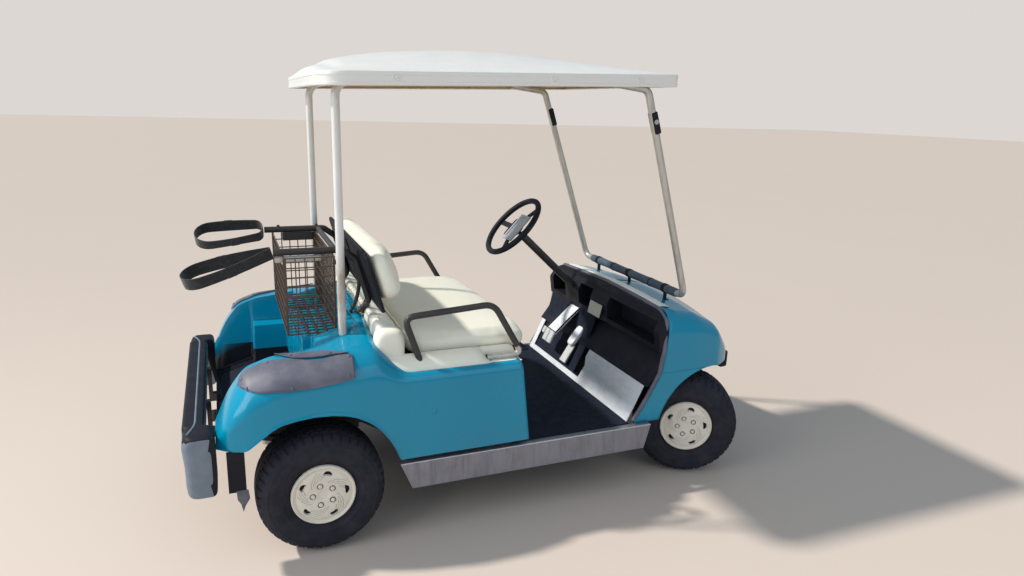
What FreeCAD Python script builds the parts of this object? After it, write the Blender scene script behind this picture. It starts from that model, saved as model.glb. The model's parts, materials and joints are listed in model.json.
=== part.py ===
import FreeCAD, Part
import math
import os
import re
import Sketcher
from FreeCAD import Placement, Rotation, Vector
from types import SimpleNamespace

# A two-seat petrol golf cart with a canopy and a bag well behind the seat.
# +X is forward, +Y is the left side, +Z is up. The origin is on the ground, under the
# middle of the cart's length. Lengths are millimetres and angles are degrees.
# The front wheels stand turned to the right, as the cart was left.

SIZES = {
    # running gear
    "rear_axle_back": 765,
    "front_axle_ahead": 925,
    "rear_wheel_side": 482,
    "kingpin_side": 330,
    "wheel_from_kingpin": 122,
    "steer_rest": 28,
    "tyre_radius": 229,
    "tyre_width": 216,
    "tread_width": 176,
    "tread_drop": 9,
    "bulge_radius": 168,
    "bead_width": 167,
    "rim_radius": 102,
    "rim_flange": 8,
    "rim_sheet": 4,
    "rim_disc_out": 40,
    "hub_radius": 34,
    "hub_length": 50,
    "spindle_radius": 12.5,
    "running_gap": 0.05,
    "seat_gap": 0.3,
    "cover_radius": 114,
    "cover_sheet": 2.5,
    "cover_out": 103,
    "cover_slots": 5,
    "cover_slot_radius": 86,
    "cover_slot_size": 13,
    "lug_radius": 9,
    "lug_circle": 40,
    # front axle and steering linkage
    "beam_radius": 22,
    "kingpin_radius": 9,
    "yoke_width": 34,
    "yoke_thick": 12,
    "knuckle_height": 66,
    "knuckle_radius": 17,
    "arm_length": 110,
    "arm_width": 22,
    "arm_thick": 10,
    "arm_level": 204,
    "arm_pin_radius": 6,
    "rod_eye_radius": 13,
    "rod_eye_height": 16,
    "rod_radius": 8,
    # rear axle
    "axle_tube_radius": 32,
    "brake_radius": 82,
    "brake_width": 38,
    "gearcase_radius": 105,
    "gearcase_width": 170,
    # frame
    "rail_side": 160,
    "rail_width": 40,
    "rail_depth": 60,
    "rail_top": 286,
    "front_rail_top": 352,
    "rear_rail_top": 372,
    "frame_nose": 160,
    "frame_rear": 1075,
    "cross_width": 40,
    "tow_hole": 9.5,
    # springs
    "spring_width": 44,
    "spring_thick": 16,
    "rear_spring_half": 195,
    "front_spring_half": 150,
    "spring_camber": 34,
    # floor and footwell
    "floor_top": 300,
    "floor_rear": -20,
    "toe_foot": 508,
    "toe_rise": 160,
    "toe_run": 76,
    "toe_sheet": 4,
    "footwell_side": 520,
    "pedal_gap_right": 35,
    "dash_bottom": 600,
    # body panels
    "panel_wall": 5,
    "body_front": 34,
    "body_lean": 37,
    "body_floor": 316,
    "body_side_top": 645,
    "guard_thick": 7,
    "well_half": 405,
    "well_front": -795,
    "well_floor": 480,
    "well_slope": 0.3,
    "well_mat": 6,
    "recess_half": 312,
    "recess_front": -640,
    "recess_floor": 738,
    "housing_side": 300,
    "housing_top": 610,
    "housing_front": -757,
    "housing_rear": -943,
    "sill_top": 295,
    "sill_bottom": 189,
    "sill_side": 572,
    "sill_sheet": 3,
    "sill_depth": 30,
    "trim_radius": 9,
    "front_arch_radius": 278,
    # bumpers
    "bumper_rear": 1212,
    "bumper_depth": 74,
    "bumper_top": 512,
    "bumper_bar": 82,
    "bumper_foot": 283,
    "bumper_half": 578,
    "bumper_block": 104,
    "nose_reach": 275,
    "nose_bumper_depth": 60,
    "nose_bumper_half": 330,
    "nose_bumper_bottom": 405,
    "nose_bumper_top": 470,
    # seat
    "seat_pivot_ahead": 40,
    "seat_pivot_drop": 26,
    "seat_pivot_radius": 6,
    "seat_half": 485,
    "seat_rear": -440,
    "seat_front": 91,
    "seat_bottom": 660,
    "seat_top": 745,
    "seat_pan_thick": 8,
    "shelf_rear": -545,
    "back_half": 450,
    "back_bottom": 871,
    "back_height": 233,
    "back_thick": 85,
    "back_lean": 16,
    "back_front": -424,
    "back_panel": 8,
    # tubes
    "armrest_gap": 25,
    "armrest_radius": 12.5,
    "rack_side": 250,
    "rack_radius": 13,
    "post_radius": 15,
    "rear_post_side": 374,
    "rear_post_back": 650,
    "front_post_side": 466,
    "rack_height": 1051,
    "rear_post_top": 1702,
    "front_post_top": 1692,
    "hoop_foot": 803,
    "hoop_height": 815,
    # canopy
    "roof_front": 648,
    "roof_rear": 730,
    "roof_half": 510,
    "roof_rim": 46,
    "roof_rim_front": 1686,
    "roof_rim_rear": 1643,
    "roof_rise": 84,
    "roof_corner": 100,
    "roof_wall": 6,
    # steering wheel
    "wheel_ahead": 290,
    "wheel_side": 280,
    "wheel_height": 1021,
    "column_angle": 43,
    "grip_radius": 165,
    "grip_thick": 12,
    "column_radius": 19,
    "shaft_radius": 9,
    "column_length": 680,
    # wire basket
    "basket_wire": 4,
    "basket_pitch": 38,
    "basket_bottom": 744,
    "basket_half": 300,
    "strap_width": 45,
    "strap_thick": 3,
    "strap_loop": 70,
    "strap_reach": 240,
    "strap_droop": 16,
    "strap_roll": 28,
}

os.makedirs("parts", exist_ok=True)
doc = FreeCAD.newDocument("golf_cart")
sheet = doc.addObject("Spreadsheet::Sheet", "Sizes")
for row, (alias, value) in enumerate(SIZES.items(), start=1):
    sheet.set("A%d" % row, alias)
    sheet.set("B%d" % row, str(value))
    sheet.setAlias("B%d" % row, alias)
doc.recompute()
S = SimpleNamespace(**{alias: float(sheet.get(alias)) for alias in SIZES})

X, Y, Z = Vector(1, 0, 0), Vector(0, 1, 0), Vector(0, 0, 1)
ALONG_Y, ALONG_Z = Rotation(X, -90), Rotation()
RIGHT, LEFT = -1, 1
NODES = []
FRAME_FRONT = "(front_axle_ahead + frame_nose)"
NOSE_BACK = "(front_axle_ahead + nose_reach - nose_bumper_depth - seat_gap)"
SEAT_PIVOT_HEIGHT = S.seat_bottom - S.seat_pivot_drop


# Helpers

def bound(text):
    """The same formula with every size written as a cell of the sheet."""
    return re.sub(r"[a-z_]+", lambda word: ("Sizes." if word.group() in SIZES else "") + word.group(), text)


def bind(thing, **formulas):
    for prop, text in formulas.items():
        thing.setExpression(prop.replace("__", "."), bound(text))


def node(thing, name):
    """Names a finished sub-part after its node."""
    thing.Label = name
    NODES.append(thing)
    return thing


def box(name, corner, extent):
    solid = doc.addObject("Part::Box", name)
    bind(solid, Length=extent[0], Width=extent[1], Height=extent[2])
    bind(solid, Placement__Base__x=corner[0], Placement__Base__y=corner[1], Placement__Base__z=corner[2])
    return solid


def rod(name, start, turn, radius, length):
    solid = doc.addObject("Part::Cylinder", name)
    solid.Placement = Placement(Vector(), turn)
    bind(solid, Radius=radius, Height=length)
    bind(solid, Placement__Base__x=start[0], Placement__Base__y=start[1], Placement__Base__z=start[2])
    return solid


def fused(name, pieces):
    whole = doc.addObject("Part::MultiFuse", name)
    whole.Shapes = pieces
    return whole


def cut(name, base, tool):
    rest = doc.addObject("Part::Cut", name)
    rest.Base = base
    rest.Tool = tool
    return rest


def mirrored(thing):
    twin = doc.addObject("Part::Mirroring", thing.Name + "_twin")
    twin.Source = thing
    twin.Normal = Y
    return twin


def pair(name, thing):
    both = doc.addObject("Part::Compound", name)
    both.Links = [thing, mirrored(thing)]
    return both


def sketch_on(body, role, name):
    plane = next(feature for feature in body.Origin.OriginFeatures if feature.Role == role)
    sketch = body.newObject("Sketcher::SketchObject", name)
    sketch.AttachmentSupport = [(plane, "")]
    sketch.MapMode = "FlatFace"
    return sketch


def held(sketch, constraint, text):
    number = sketch.addConstraint(constraint)
    sketch.setExpression("Constraints[%d]" % number, bound(text))


def outline(sketch, corners):
    """A closed outline whose corners are pairs of formulas."""
    count = len(corners)
    first = sketch.GeometryCount
    ring = [Vector(math.cos(math.tau * i / count), math.sin(math.tau * i / count), 0) for i in range(count)]
    for i in range(count):
        sketch.addGeometry(Part.LineSegment(ring[i], ring[(i + 1) % count]), False)
    for i in range(count):
        sketch.addConstraint(Sketcher.Constraint("Coincident", first + i, 2, first + (i + 1) % count, 1))
    for i, corner in enumerate(corners, start=first):
        held(sketch, Sketcher.Constraint("DistanceX", -1, 1, i, 1, 1.0), corner[0])
        held(sketch, Sketcher.Constraint("DistanceY", -1, 1, i, 1, 1.0), corner[1])


def circle(sketch, across, up, radius):
    ring = sketch.addGeometry(Part.Circle(Vector(1, 1, 0), Z, 1), False)
    held(sketch, Sketcher.Constraint("DistanceX", -1, 1, ring, 3, 1.0), across)
    held(sketch, Sketcher.Constraint("DistanceY", -1, 1, ring, 3, 1.0), up)
    held(sketch, Sketcher.Constraint("Radius", ring, 1.0), radius)


def prism(name, role, corners, start, length):
    """A plate cut to an outline. On XZ_Plane its thickness runs from start towards the right side."""
    body = doc.addObject("PartDesign::Body", name)
    sketch = sketch_on(body, role, name + "_outline")
    sketch.setExpression("AttachmentOffset.Base.z", bound(start))
    outline(sketch, corners)
    pad = body.newObject("PartDesign::Pad", name + "_pad")
    pad.Profile = sketch
    bind(pad, Length=length)
    return body


def turned(name, corners):
    """A body of revolution about its own Y axis. Each corner is (radius, distance outward)."""
    body = doc.addObject("PartDesign::Body", name)
    sketch = sketch_on(body, "XY_Plane", name + "_section")
    outline(sketch, corners)
    turn = body.newObject("PartDesign::Revolution", name + "_turn")
    turn.Profile = sketch
    turn.ReferenceAxis = (sketch, ["V_Axis"])
    turn.Angle = 360
    return body, sketch


def shaped(name, shape):
    feature = doc.addObject("Part::Feature", name)
    feature.Shape = shape
    return feature


def tube(points, bend, radius):
    """A round bar along straight runs joined by tangent arcs."""
    edges = []
    start = points[0]
    for before, corner, after in zip(points, points[1:], points[2:]):
        back = (before - corner).normalize()
        onward = (after - corner).normalize()
        half = back.getAngle(onward) / 2
        setback = bend / math.tan(half)
        first, last = corner + back * setback, corner + onward * setback
        middle = corner + (back + onward).normalize() * (bend / math.sin(half) - bend)
        edges.append(Part.LineSegment(start, first).toShape())
        edges.append(Part.Arc(first, middle, last).toShape())
        start = last
    edges.append(Part.LineSegment(start, points[-1]).toShape())
    ring = Part.Wire(Part.makeCircle(radius, points[0], points[1] - points[0]))
    return Part.Wire(edges).makePipeShell([ring], True, False)


def block(low, high):
    return Part.makeBox(high[0] - low[0], high[1] - low[1], high[2] - low[2], Vector(*low))


def slab(points, start, length):
    """A polygon of (x, z) pairs carried from y = start over a length towards the left side."""
    wire = Part.makePolygon([Vector(x, start, z) for x, z in points + points[:1]])
    return Part.Face(wire).extrude(Vector(0, length, 0))


def vault(x, half, side, crest_side, crest, middle, floor):
    """A closed section across the cart: upright sides, round shoulders and a crowned top."""
    slant = math.sqrt(0.5)
    corners = [Vector(x, side_sign * half, height) for side_sign, height in ((-1, floor), (-1, side))]
    crests = [Vector(x, -crest_side, crest), Vector(x, crest_side, crest)]
    ends = [Vector(x, half, side), Vector(x, half, floor)]
    bulge = crest_side + (half - crest_side) * slant
    rise = side + (crest - side) * slant
    edges = [
        Part.LineSegment(corners[0], corners[1]),
        Part.Arc(corners[1], Vector(x, -bulge, rise), crests[0]),
        Part.Arc(crests[0], Vector(x, 0, middle), crests[1]),
        Part.Arc(crests[1], Vector(x, bulge, rise), ends[0]),
        Part.LineSegment(ends[0], ends[1]),
        Part.LineSegment(ends[1], corners[0]),
    ]
    return Part.Wire([edge.toShape() for edge in edges])


def shell(table, wall, floor):
    """The outside of a moulding through sections of named columns, and the space one wall inside it."""
    step = math.copysign(wall, table[-1][0] - table[0][0])
    shifts = [step] + [0] * (len(table) - 2) + [-step]
    inner = [vault(x + shift, half - wall, side - wall, crest_side - wall / 2, crest - wall, middle - wall,
                   floor - wall)
             for shift, (x, half, side, crest_side, crest, middle) in zip(shifts, table)]
    return Part.makeLoft([vault(*row, floor) for row in table], True, True), Part.makeLoft(inner, True, True)


# Wheels

def tyre(name):
    side = "tyre_width / 2"
    bead = "bead_width / 2"
    foot = "rim_radius + seat_gap"
    half = [
        (foot, bead),
        ("rim_radius + rim_flange + 2", bead),
        ("bulge_radius - 32", side + " - 5"),
        ("bulge_radius", side),
        ("tyre_radius - 26", side + " - 7"),
        ("tyre_radius - tread_drop", "tread_width / 2"),
        ("tyre_radius", "tread_width / 2 - 26"),
    ]
    other = [(radius, "-(" + out + ")") for radius, out in reversed(half)]
    return turned(name, half + other)[0]


def rim(name):
    flange = "rim_radius + rim_flange"
    inside = "rim_radius - rim_sheet"
    edge = "bead_width / 2 + seat_gap"
    bore = "spindle_radius + running_gap"
    return turned(name, [
        (bore, "rim_disc_out + rim_sheet - hub_length"),
        ("hub_radius", "rim_disc_out + rim_sheet - hub_length"),
        ("hub_radius", "rim_disc_out"),
        (inside, "rim_disc_out"),
        (inside, "-(" + edge + ") - rim_sheet"),
        (flange, "-(" + edge + ") - rim_sheet"),
        (flange, "-(" + edge + ")"),
        ("rim_radius", "-(" + edge + ")"),
        ("rim_radius", edge),
        (flange, edge),
        (flange, edge + " + rim_sheet"),
        (inside, edge + " + rim_sheet"),
        (inside, "rim_disc_out + rim_sheet"),
        (bore, "rim_disc_out + rim_sheet"),
    ])[0]


def wheel_cover(name):
    """A dished cap with five D-shaped slots and five round bosses."""
    back = "bead_width / 2 + rim_sheet + seat_gap * 2"
    lip = "rim_radius + rim_flange - 3"
    body, section = turned(name, [
        ("0", "cover_out"),
        ("62", "cover_out - 1"),
        ("cover_radius - 15", "cover_out - 5"),
        ("cover_radius - 10", "cover_out - 2"),
        ("cover_radius - 3", "cover_out - 3"),
        ("cover_radius", "cover_out - 7"),
        ("cover_radius", back),
        (lip, back),
        (lip, "cover_out - 8"),
        ("cover_radius - 15", "cover_out - 5 - cover_sheet"),
        ("62", "cover_out - 1 - cover_sheet"),
        ("0", "cover_out - cover_sheet"),
    ])
    plan = sketch_on(body, "XZ_Plane", name + "_slot")
    outline(plan, [
        ("cover_slot_radius - 6", "-cover_slot_size"),
        ("cover_slot_radius + 3", "-cover_slot_size + 3"),
        ("cover_slot_radius + 8", "0"),
        ("cover_slot_radius + 3", "cover_slot_size - 3"),
        ("cover_slot_radius - 6", "cover_slot_size"),
    ])
    slot = body.newObject("PartDesign::Pocket", name + "_slot_cut")
    slot.Profile = plan
    slot.Type = "ThroughAll"
    slot.SideType = "Symmetric"
    slots = body.newObject("PartDesign::PolarPattern", name + "_slots")
    slots.Originals = [slot]
    slots.Axis = (section, ["V_Axis"])
    slots.Angle = 360
    bind(slots, Occurrences="cover_slots")
    body.Tip = slots
    spot = sketch_on(body, "XZ_Plane", name + "_lug")
    spot.setExpression("AttachmentOffset.Base.z", bound("-(cover_out + 4)"))
    circle(spot, "0", "lug_circle", "lug_radius")
    lug = body.newObject("PartDesign::Pad", name + "_lug_pad")
    lug.Profile = spot
    bind(lug, Length="6")
    lugs = body.newObject("PartDesign::PolarPattern", name + "_lugs")
    lugs.Originals = [lug]
    lugs.Axis = (section, ["V_Axis"])
    lugs.Angle = 360
    bind(lugs, Occurrences="cover_slots")
    body.Tip = lugs
    return body


def kingpin_place(side, along, across):
    """A point given from the kingpin in the straight-ahead wheel's own directions."""
    turn = Rotation(Z, -S.steer_rest)
    base = Vector(S.front_axle_ahead, side * S.kingpin_side, 0)
    return base + turn.multVec(Vector(along, side * across, 0))


def wheels():
    for side, hand in ((RIGHT, "right"), (LEFT, "left")):
        facing = 180 if side == RIGHT else 0
        front = kingpin_place(side, 0, S.wheel_from_kingpin) + Z * S.tyre_radius
        rear = Vector(-S.rear_axle_back, side * S.rear_wheel_side, S.tyre_radius)
        for end, centre, turn in (("front", front, facing - S.steer_rest), ("rear", rear, facing)):
            place = Placement(centre, Rotation(Z, turn))
            for kind, maker in (("tyre", tyre), ("rim", rim), ("wheel_cover", wheel_cover)):
                name = "%s_%s_%s" % (kind, end, hand)
                piece = node(maker(name), name)
                piece.Placement = place


# Steering linkage and axles

def front_axle():
    """A tube beam that carries a forked yoke and its kingpin at each end."""
    lift = "tyre_radius + knuckle_height / 2 + seat_gap"
    drop = "tyre_radius - knuckle_height / 2 - seat_gap - yoke_thick"
    inner = "kingpin_side - knuckle_radius - 14"
    parts = [rod("beam", ("front_axle_ahead", "-(" + inner + ")", "tyre_radius"), ALONG_Y, "beam_radius",
                 "2 * (" + inner + ")")]
    for side, hand in ((RIGHT, "right"), (LEFT, "left")):
        reach = "-(kingpin_side + yoke_width / 2)" if side == RIGHT else inner + " - 10"
        root = "-(" + inner + ")" if side == RIGHT else inner + " - 10"
        for level, bottom in (("upper", lift), ("lower", drop)):
            parts.append(box("lug_%s_%s" % (level, hand),
                             ("front_axle_ahead - yoke_width / 2", reach, bottom),
                             ("yoke_width", "yoke_width / 2 + knuckle_radius + 24", "yoke_thick")))
        parts.append(box("web_" + hand, ("front_axle_ahead - yoke_width / 2", root, drop),
                         ("yoke_width", "10", "knuckle_height + 2 * (yoke_thick + seat_gap)")))
        centre = "-kingpin_side" if side == RIGHT else "kingpin_side"
        parts.append(rod("kingpin_" + hand, ("front_axle_ahead", centre, drop + " - 4"), ALONG_Z,
                         "kingpin_radius", "knuckle_height + 2 * (yoke_thick + seat_gap + 4)"))
    node(fused("front_axle_beam", parts), "front_axle")


def knuckle(side, hand):
    """Boss on the kingpin, stub spindle outward and steering arm rearward with its pin."""
    name = "steering_knuckle_" + hand
    low = S.tyre_radius - S.knuckle_height / 2
    boss = Part.makeCylinder(S.knuckle_radius, S.knuckle_height, Vector(0, 0, low))
    spindle_end = S.wheel_from_kingpin + S.rim_disc_out + S.rim_sheet + 14
    spindle = Part.makeCylinder(S.spindle_radius, spindle_end, Vector(0, 0, S.tyre_radius), Y * side)
    flange_out = S.wheel_from_kingpin + S.rim_disc_out + S.rim_sheet - S.hub_length - S.seat_gap
    flange = Part.makeCylinder(S.hub_radius - 10, flange_out - S.knuckle_radius + 4,
                               Vector(0, side * (S.knuckle_radius - 4), S.tyre_radius), Y * side)
    arm_low = S.arm_level - S.arm_thick / 2
    arm = block((-S.arm_length, -S.arm_width / 2, arm_low), (0, S.arm_width / 2, arm_low + S.arm_thick))
    eye = Part.makeCylinder(S.rod_eye_radius, S.arm_thick, Vector(-S.arm_length, 0, arm_low))
    pin_length = S.rod_eye_height + 2 * S.seat_gap + 3
    pin = Part.makeCylinder(S.arm_pin_radius, pin_length, Vector(-S.arm_length, 0, arm_low - pin_length))
    bore = Part.makeCylinder(S.kingpin_radius + S.running_gap, 2 * S.tyre_radius)
    solid = boss.fuse([spindle, flange, arm, eye, pin]).cut([bore])
    piece = node(shaped(name, solid), name)
    piece.Placement = Placement(kingpin_place(side, 0, 0), Rotation(Z, -S.steer_rest))


def tie_rod():
    """A bar between two eyes. The left eye is the linkage's open pivot."""
    level = S.arm_level - S.arm_thick / 2 - S.seat_gap - S.rod_eye_height
    ends = [kingpin_place(side, -S.arm_length, 0) for side in (RIGHT, LEFT)]
    bores = []
    solids = []
    for end, slack in zip(ends, (S.running_gap, S.seat_gap)):
        base = end + Z * level
        solids.append(Part.makeCylinder(S.rod_eye_radius, S.rod_eye_height, base))
        bores.append(Part.makeCylinder(S.arm_pin_radius + slack, S.rod_eye_height, base))
    middle = level + S.rod_eye_height / 2
    start = ends[0] + Z * middle + Y * (S.rod_eye_radius - 2)
    length = (ends[1] - ends[0]).Length - 2 * (S.rod_eye_radius - 2)
    solids.append(Part.makeCylinder(S.rod_radius - 1, length, start, Y))
    solid = solids[0].fuse(solids[1:]).cut(bores)
    node(shaped("tie_rod", solid), "tie_rod")


def rear_axle():
    """Axle tubes into a round gearcase, with a brake drum and a stub at each wheel."""
    stub = "rear_wheel_side + rim_disc_out + rim_sheet + 14"
    drum_out = "rear_wheel_side + rim_disc_out + rim_sheet - hub_length - seat_gap"
    parts = [
        rod("axle_stubs", ("-rear_axle_back", "-(" + stub + ")", "tyre_radius"), ALONG_Y, "spindle_radius",
            "2 * (" + stub + ")"),
        rod("axle_tubes", ("-rear_axle_back", "-(" + drum_out + ")", "tyre_radius"), ALONG_Y,
            "hub_radius - 8", "2 * (" + drum_out + ")"),
        rod("gearcase", ("-rear_axle_back", "-gearcase_width / 2", "tyre_radius"), ALONG_Y, "gearcase_radius",
            "gearcase_width"),
        rod("axle_sleeves", ("-rear_axle_back", "-(" + drum_out + " - brake_width)", "tyre_radius"), ALONG_Y,
            "axle_tube_radius", "2 * (" + drum_out + " - brake_width)"),
    ]
    for hand, start in (("right", "-(" + drum_out + ")"), ("left", drum_out + " - brake_width")):
        parts.append(rod("drum_" + hand, ("-rear_axle_back", start, "tyre_radius"), ALONG_Y, "brake_radius",
                         "brake_width"))
    node(fused("rear_axle_unit", parts), "rear_axle")


# Frame, springs and engine

OUTRIGGERS = (("fore", "470"), ("aft", "20"))


def chassis_frame():
    """Two rails that kick up over each axle, joined by cross members, with floor outriggers."""
    depth = "rail_depth"
    rail = prism("rail", "XZ_Plane", [
        (FRAME_FRONT, "front_rail_top - " + depth),
        ("front_axle_ahead - 165", "front_rail_top - " + depth),
        ("front_axle_ahead - 300", "rail_top - " + depth),
        ("-rear_axle_back + 345", "rail_top - " + depth),
        ("-rear_axle_back + 205", "rear_rail_top - " + depth),
        ("-frame_rear", "rear_rail_top - " + depth),
        ("-frame_rear", "rear_rail_top"),
        ("-rear_axle_back + 235", "rear_rail_top"),
        ("-rear_axle_back + 365", "rail_top"),
        ("front_axle_ahead - 320", "rail_top"),
        ("front_axle_ahead - 185", "front_rail_top"),
        (FRAME_FRONT, "front_rail_top"),
    ], "rail_side", "rail_width")
    horn = prism("front_horn", "XZ_Plane", [
        (FRAME_FRONT + " - 40", "front_rail_top - 10"),
        (FRAME_FRONT, "front_rail_top - 10"),
        (FRAME_FRONT, "nose_bumper_bottom + 3"),
        (NOSE_BACK, "nose_bumper_bottom + 3"),
        (NOSE_BACK, "nose_bumper_bottom + 35"),
        (FRAME_FRONT + " - 40", "nose_bumper_bottom + 35"),
    ], "rail_side + 5", "rail_width - 10")
    riser = prism("rear_horn", "XZ_Plane", [
        ("-frame_rear + 15", "rear_rail_top - 40"),
        ("-frame_rear + 15", "rear_rail_top - 6"),
        ("-(bumper_rear - bumper_depth - seat_gap) + 16", "rear_rail_top - 6"),
        ("-(bumper_rear - bumper_depth - seat_gap) + 16", "bumper_top - 34"),
        ("-(bumper_rear - bumper_depth - seat_gap)", "bumper_top - 34"),
        ("-(bumper_rear - bumper_depth - seat_gap)", "rear_rail_top - 40"),
    ], "rail_side + 5", "rail_width - 10")
    parts = [rail, mirrored(rail), horn, mirrored(horn), riser, mirrored(riser)]
    crossings = (("front", FRAME_FRONT + " - cross_width", "front_rail_top"),
                 ("dash", "560", "rail_top"),
                 ("seat", "0", "rail_top"),
                 ("engine", "-440", "rail_top + 20"),
                 ("rear", "-frame_rear", "rear_rail_top"))
    for name, start, top in crossings:
        parts.append(box("cross_" + name, (start, "-rail_side - 1", top + " - rail_depth + 10"),
                         ("cross_width", "2 * rail_side + 2", "rail_depth - 20")))
    for name, start in OUTRIGGERS:
        parts.append(box("cross_" + name, (start, "-rail_side - 1", "rail_top - 36"),
                         ("cross_width", "2 * rail_side + 2", "34")))
    underside = "well_floor - panel_wall - seat_gap"
    post = prism("body_post", "XZ_Plane", [
        ("well_front - 30", "rear_rail_top - 2"),
        ("well_front - 30", underside + " - 30 * well_slope"),
        ("well_front - 56", underside + " - 56 * well_slope"),
        ("well_front - 56", "rear_rail_top - 2"),
    ], "rail_side + 4", "rail_width - 8")
    parts += [post, mirrored(post)]
    plate = box("hitch_plate", ("-frame_rear - 60", "-50", "rear_rail_top - rail_depth + 20"),
                ("62", "100", "10"))
    nose = box("tow_plate", (FRAME_FRONT + " - 2", "-50", "front_rail_top - rail_depth + 20"),
               ("62", "100", "10"))
    whole = fused("frame_weldment", parts + [plate, nose])
    holes = fused("tow_holes", [
        rod("hitch_hole", ("-frame_rear - 34", "0", "0"), ALONG_Z, "tow_hole", "rear_rail_top"),
        rod("nose_hole", (FRAME_FRONT + " + 34", "0", "0"), ALONG_Z, "tow_hole", "front_rail_top"),
    ])
    node(cut("frame_drilled", whole, holes), "chassis_frame")


def floor_outriggers():
    """Arms from the rails out to the rockers."""
    start = "(rail_side + rail_width + seat_gap)"
    reach = "sill_side - sill_sheet - seat_gap - " + start
    arms = []
    for name, place in OUTRIGGERS:
        arm = box("outrigger_" + name, (place, start, "rail_top - 36"), ("cross_width", reach, "34"))
        arms += [arm, mirrored(arm)]
    outriggers = doc.addObject("Part::Compound", "outriggers")
    outriggers.Links = arms
    node(outriggers, "floor_outriggers")


def leaf_spring(name, axle, half, seat, top):
    """A cambered leaf pack that rests on the axle and reaches up to the rail at both ends."""
    bend = seat + " + spring_camber * 0.35"
    return prism(name, "XZ_Plane", [
        (axle + " - " + half, top + " - 16"),
        (axle + " - " + half + " * 0.5", bend),
        (axle + " - 34", seat),
        (axle + " + 34", seat),
        (axle + " + " + half + " * 0.5", bend),
        (axle + " + " + half, top + " - 16"),
        (axle + " + " + half, top),
        (axle + " + " + half + " - 24", top),
        (axle + " + " + half + " * 0.5", bend + " + spring_thick"),
        (axle + " + 34", seat + " + spring_thick"),
        (axle + " - 34", seat + " + spring_thick"),
        (axle + " - " + half + " * 0.5", bend + " + spring_thick"),
        (axle + " - " + half + " + 24", top),
        (axle + " - " + half, top),
    ], "rail_side + rail_width / 2 - spring_width / 2", "spring_width")


def springs():
    rear = leaf_spring("rear_spring", "-rear_axle_back", "rear_spring_half",
                       "tyre_radius + axle_tube_radius + seat_gap", "rear_rail_top - rail_depth - seat_gap")
    node(pair("rear_springs", rear), "rear_leaf_springs")
    front = leaf_spring("front_spring", "front_axle_ahead", "front_spring_half",
                        "tyre_radius + beam_radius + seat_gap", "front_rail_top - rail_depth - seat_gap")
    node(pair("front_springs", front), "front_leaf_springs")


def engine():
    node(box("engine", ("-470", "-150", "rail_top + 10 + seat_gap"), ("390", "300", "250")), "engine_block")


# Floor and front of the footwell

def floor_pan():
    half = "(sill_side - sill_depth - seat_gap)"
    node(box("floor", ("floor_rear", "-" + half, "rail_top + seat_gap"),
             ("toe_foot - floor_rear", "2 * " + half, "floor_top - rail_top - seat_gap")), "floor_pan")


def toe_plate():
    """A sloping plate, notched where the pedals come through."""
    slope = math.atan2(S.toe_rise, S.toe_run)
    length = math.hypot(S.toe_rise, S.toe_run)
    side = S.footwell_side
    edge = -S.pedal_gap_right
    points = [(0, -side), (length, -side), (length, edge), (length - 40, edge + 5), (length * 0.55, edge - 20),
              (30, edge - 8), (30, side - 40), (length, side - 40), (length, side), (0, side)]
    face = Part.Face(Part.makePolygon([Vector(a, b, 0) for a, b in points + points[:1]]))
    plate = node(shaped("toe_board", face.extrude(Vector(0, 0, S.toe_sheet))), "toe_plate")
    plate.Placement = Placement(Vector(S.toe_foot + 4.2, 0, S.floor_top - 8), Rotation(Y, -math.degrees(slope)))


def front_bulkhead():
    """The dark liner between the toe plate and the dash."""
    low = (S.toe_foot + S.toe_run, S.floor_top - 8 + S.toe_rise)
    top = S.dash_bottom - S.seat_gap
    half = FRONT_SECTIONS[0][1] - S.panel_wall - S.seat_gap
    liner = slab([(low[0], low[1] + 2), (low[0] + 10, low[1] + 2), (700, top - 8), (700, top), (688, top),
                  (688, top - 4)], -half, 2 * half)
    liner = liner.cut(trim_strip(S.trim_radius + S.seat_gap))
    node(shaped("footwell_liner", liner), "front_bulkhead")


DASH_POCKETS = ((-500, -95), (70, 200), (350, 500))
DASH_FACE = (640, 628)


def dashboard():
    """A full-width shelf under the hood with open pockets beside a middle box."""
    low = S.dash_bottom
    foot, brow = DASH_FACE
    body = slab([(655, 810), (700, 810), (756, 716), (744, low), (foot, low), (brow, low + 90),
                 (655, low + 152)], -600, 1200)
    room = front_hull(-S.panel_wall - S.seat_gap)
    pockets = [block((560, start, low + 24), (715, end, low + 128)) for start, end in DASH_POCKETS]
    bore = Part.makeCylinder(S.column_radius + S.seat_gap, 500, column_point(200), column_axis() * -1)
    seat = trim_strip(S.trim_radius + S.seat_gap)
    node(shaped("dash_moulding", body.common(room).cut(pockets + [bore]).cut(seat)), "dashboard")


def dash_placard():
    thick = 4
    plate = block((-thick / 2, -45, -24), (thick / 2, 45, 24))
    sign = node(shaped("placard", plate), "dash_placard")
    foot, brow = DASH_FACE
    lean = math.degrees(math.atan2(foot - brow, 90))
    off = (thick / 2 + S.seat_gap) / math.cos(math.radians(lean)) + 0.7
    sign.Placement = Placement(Vector((foot + brow) / 2 - off, -5, S.dash_bottom + 45), Rotation(Y, -lean))


# Pedals

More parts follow.
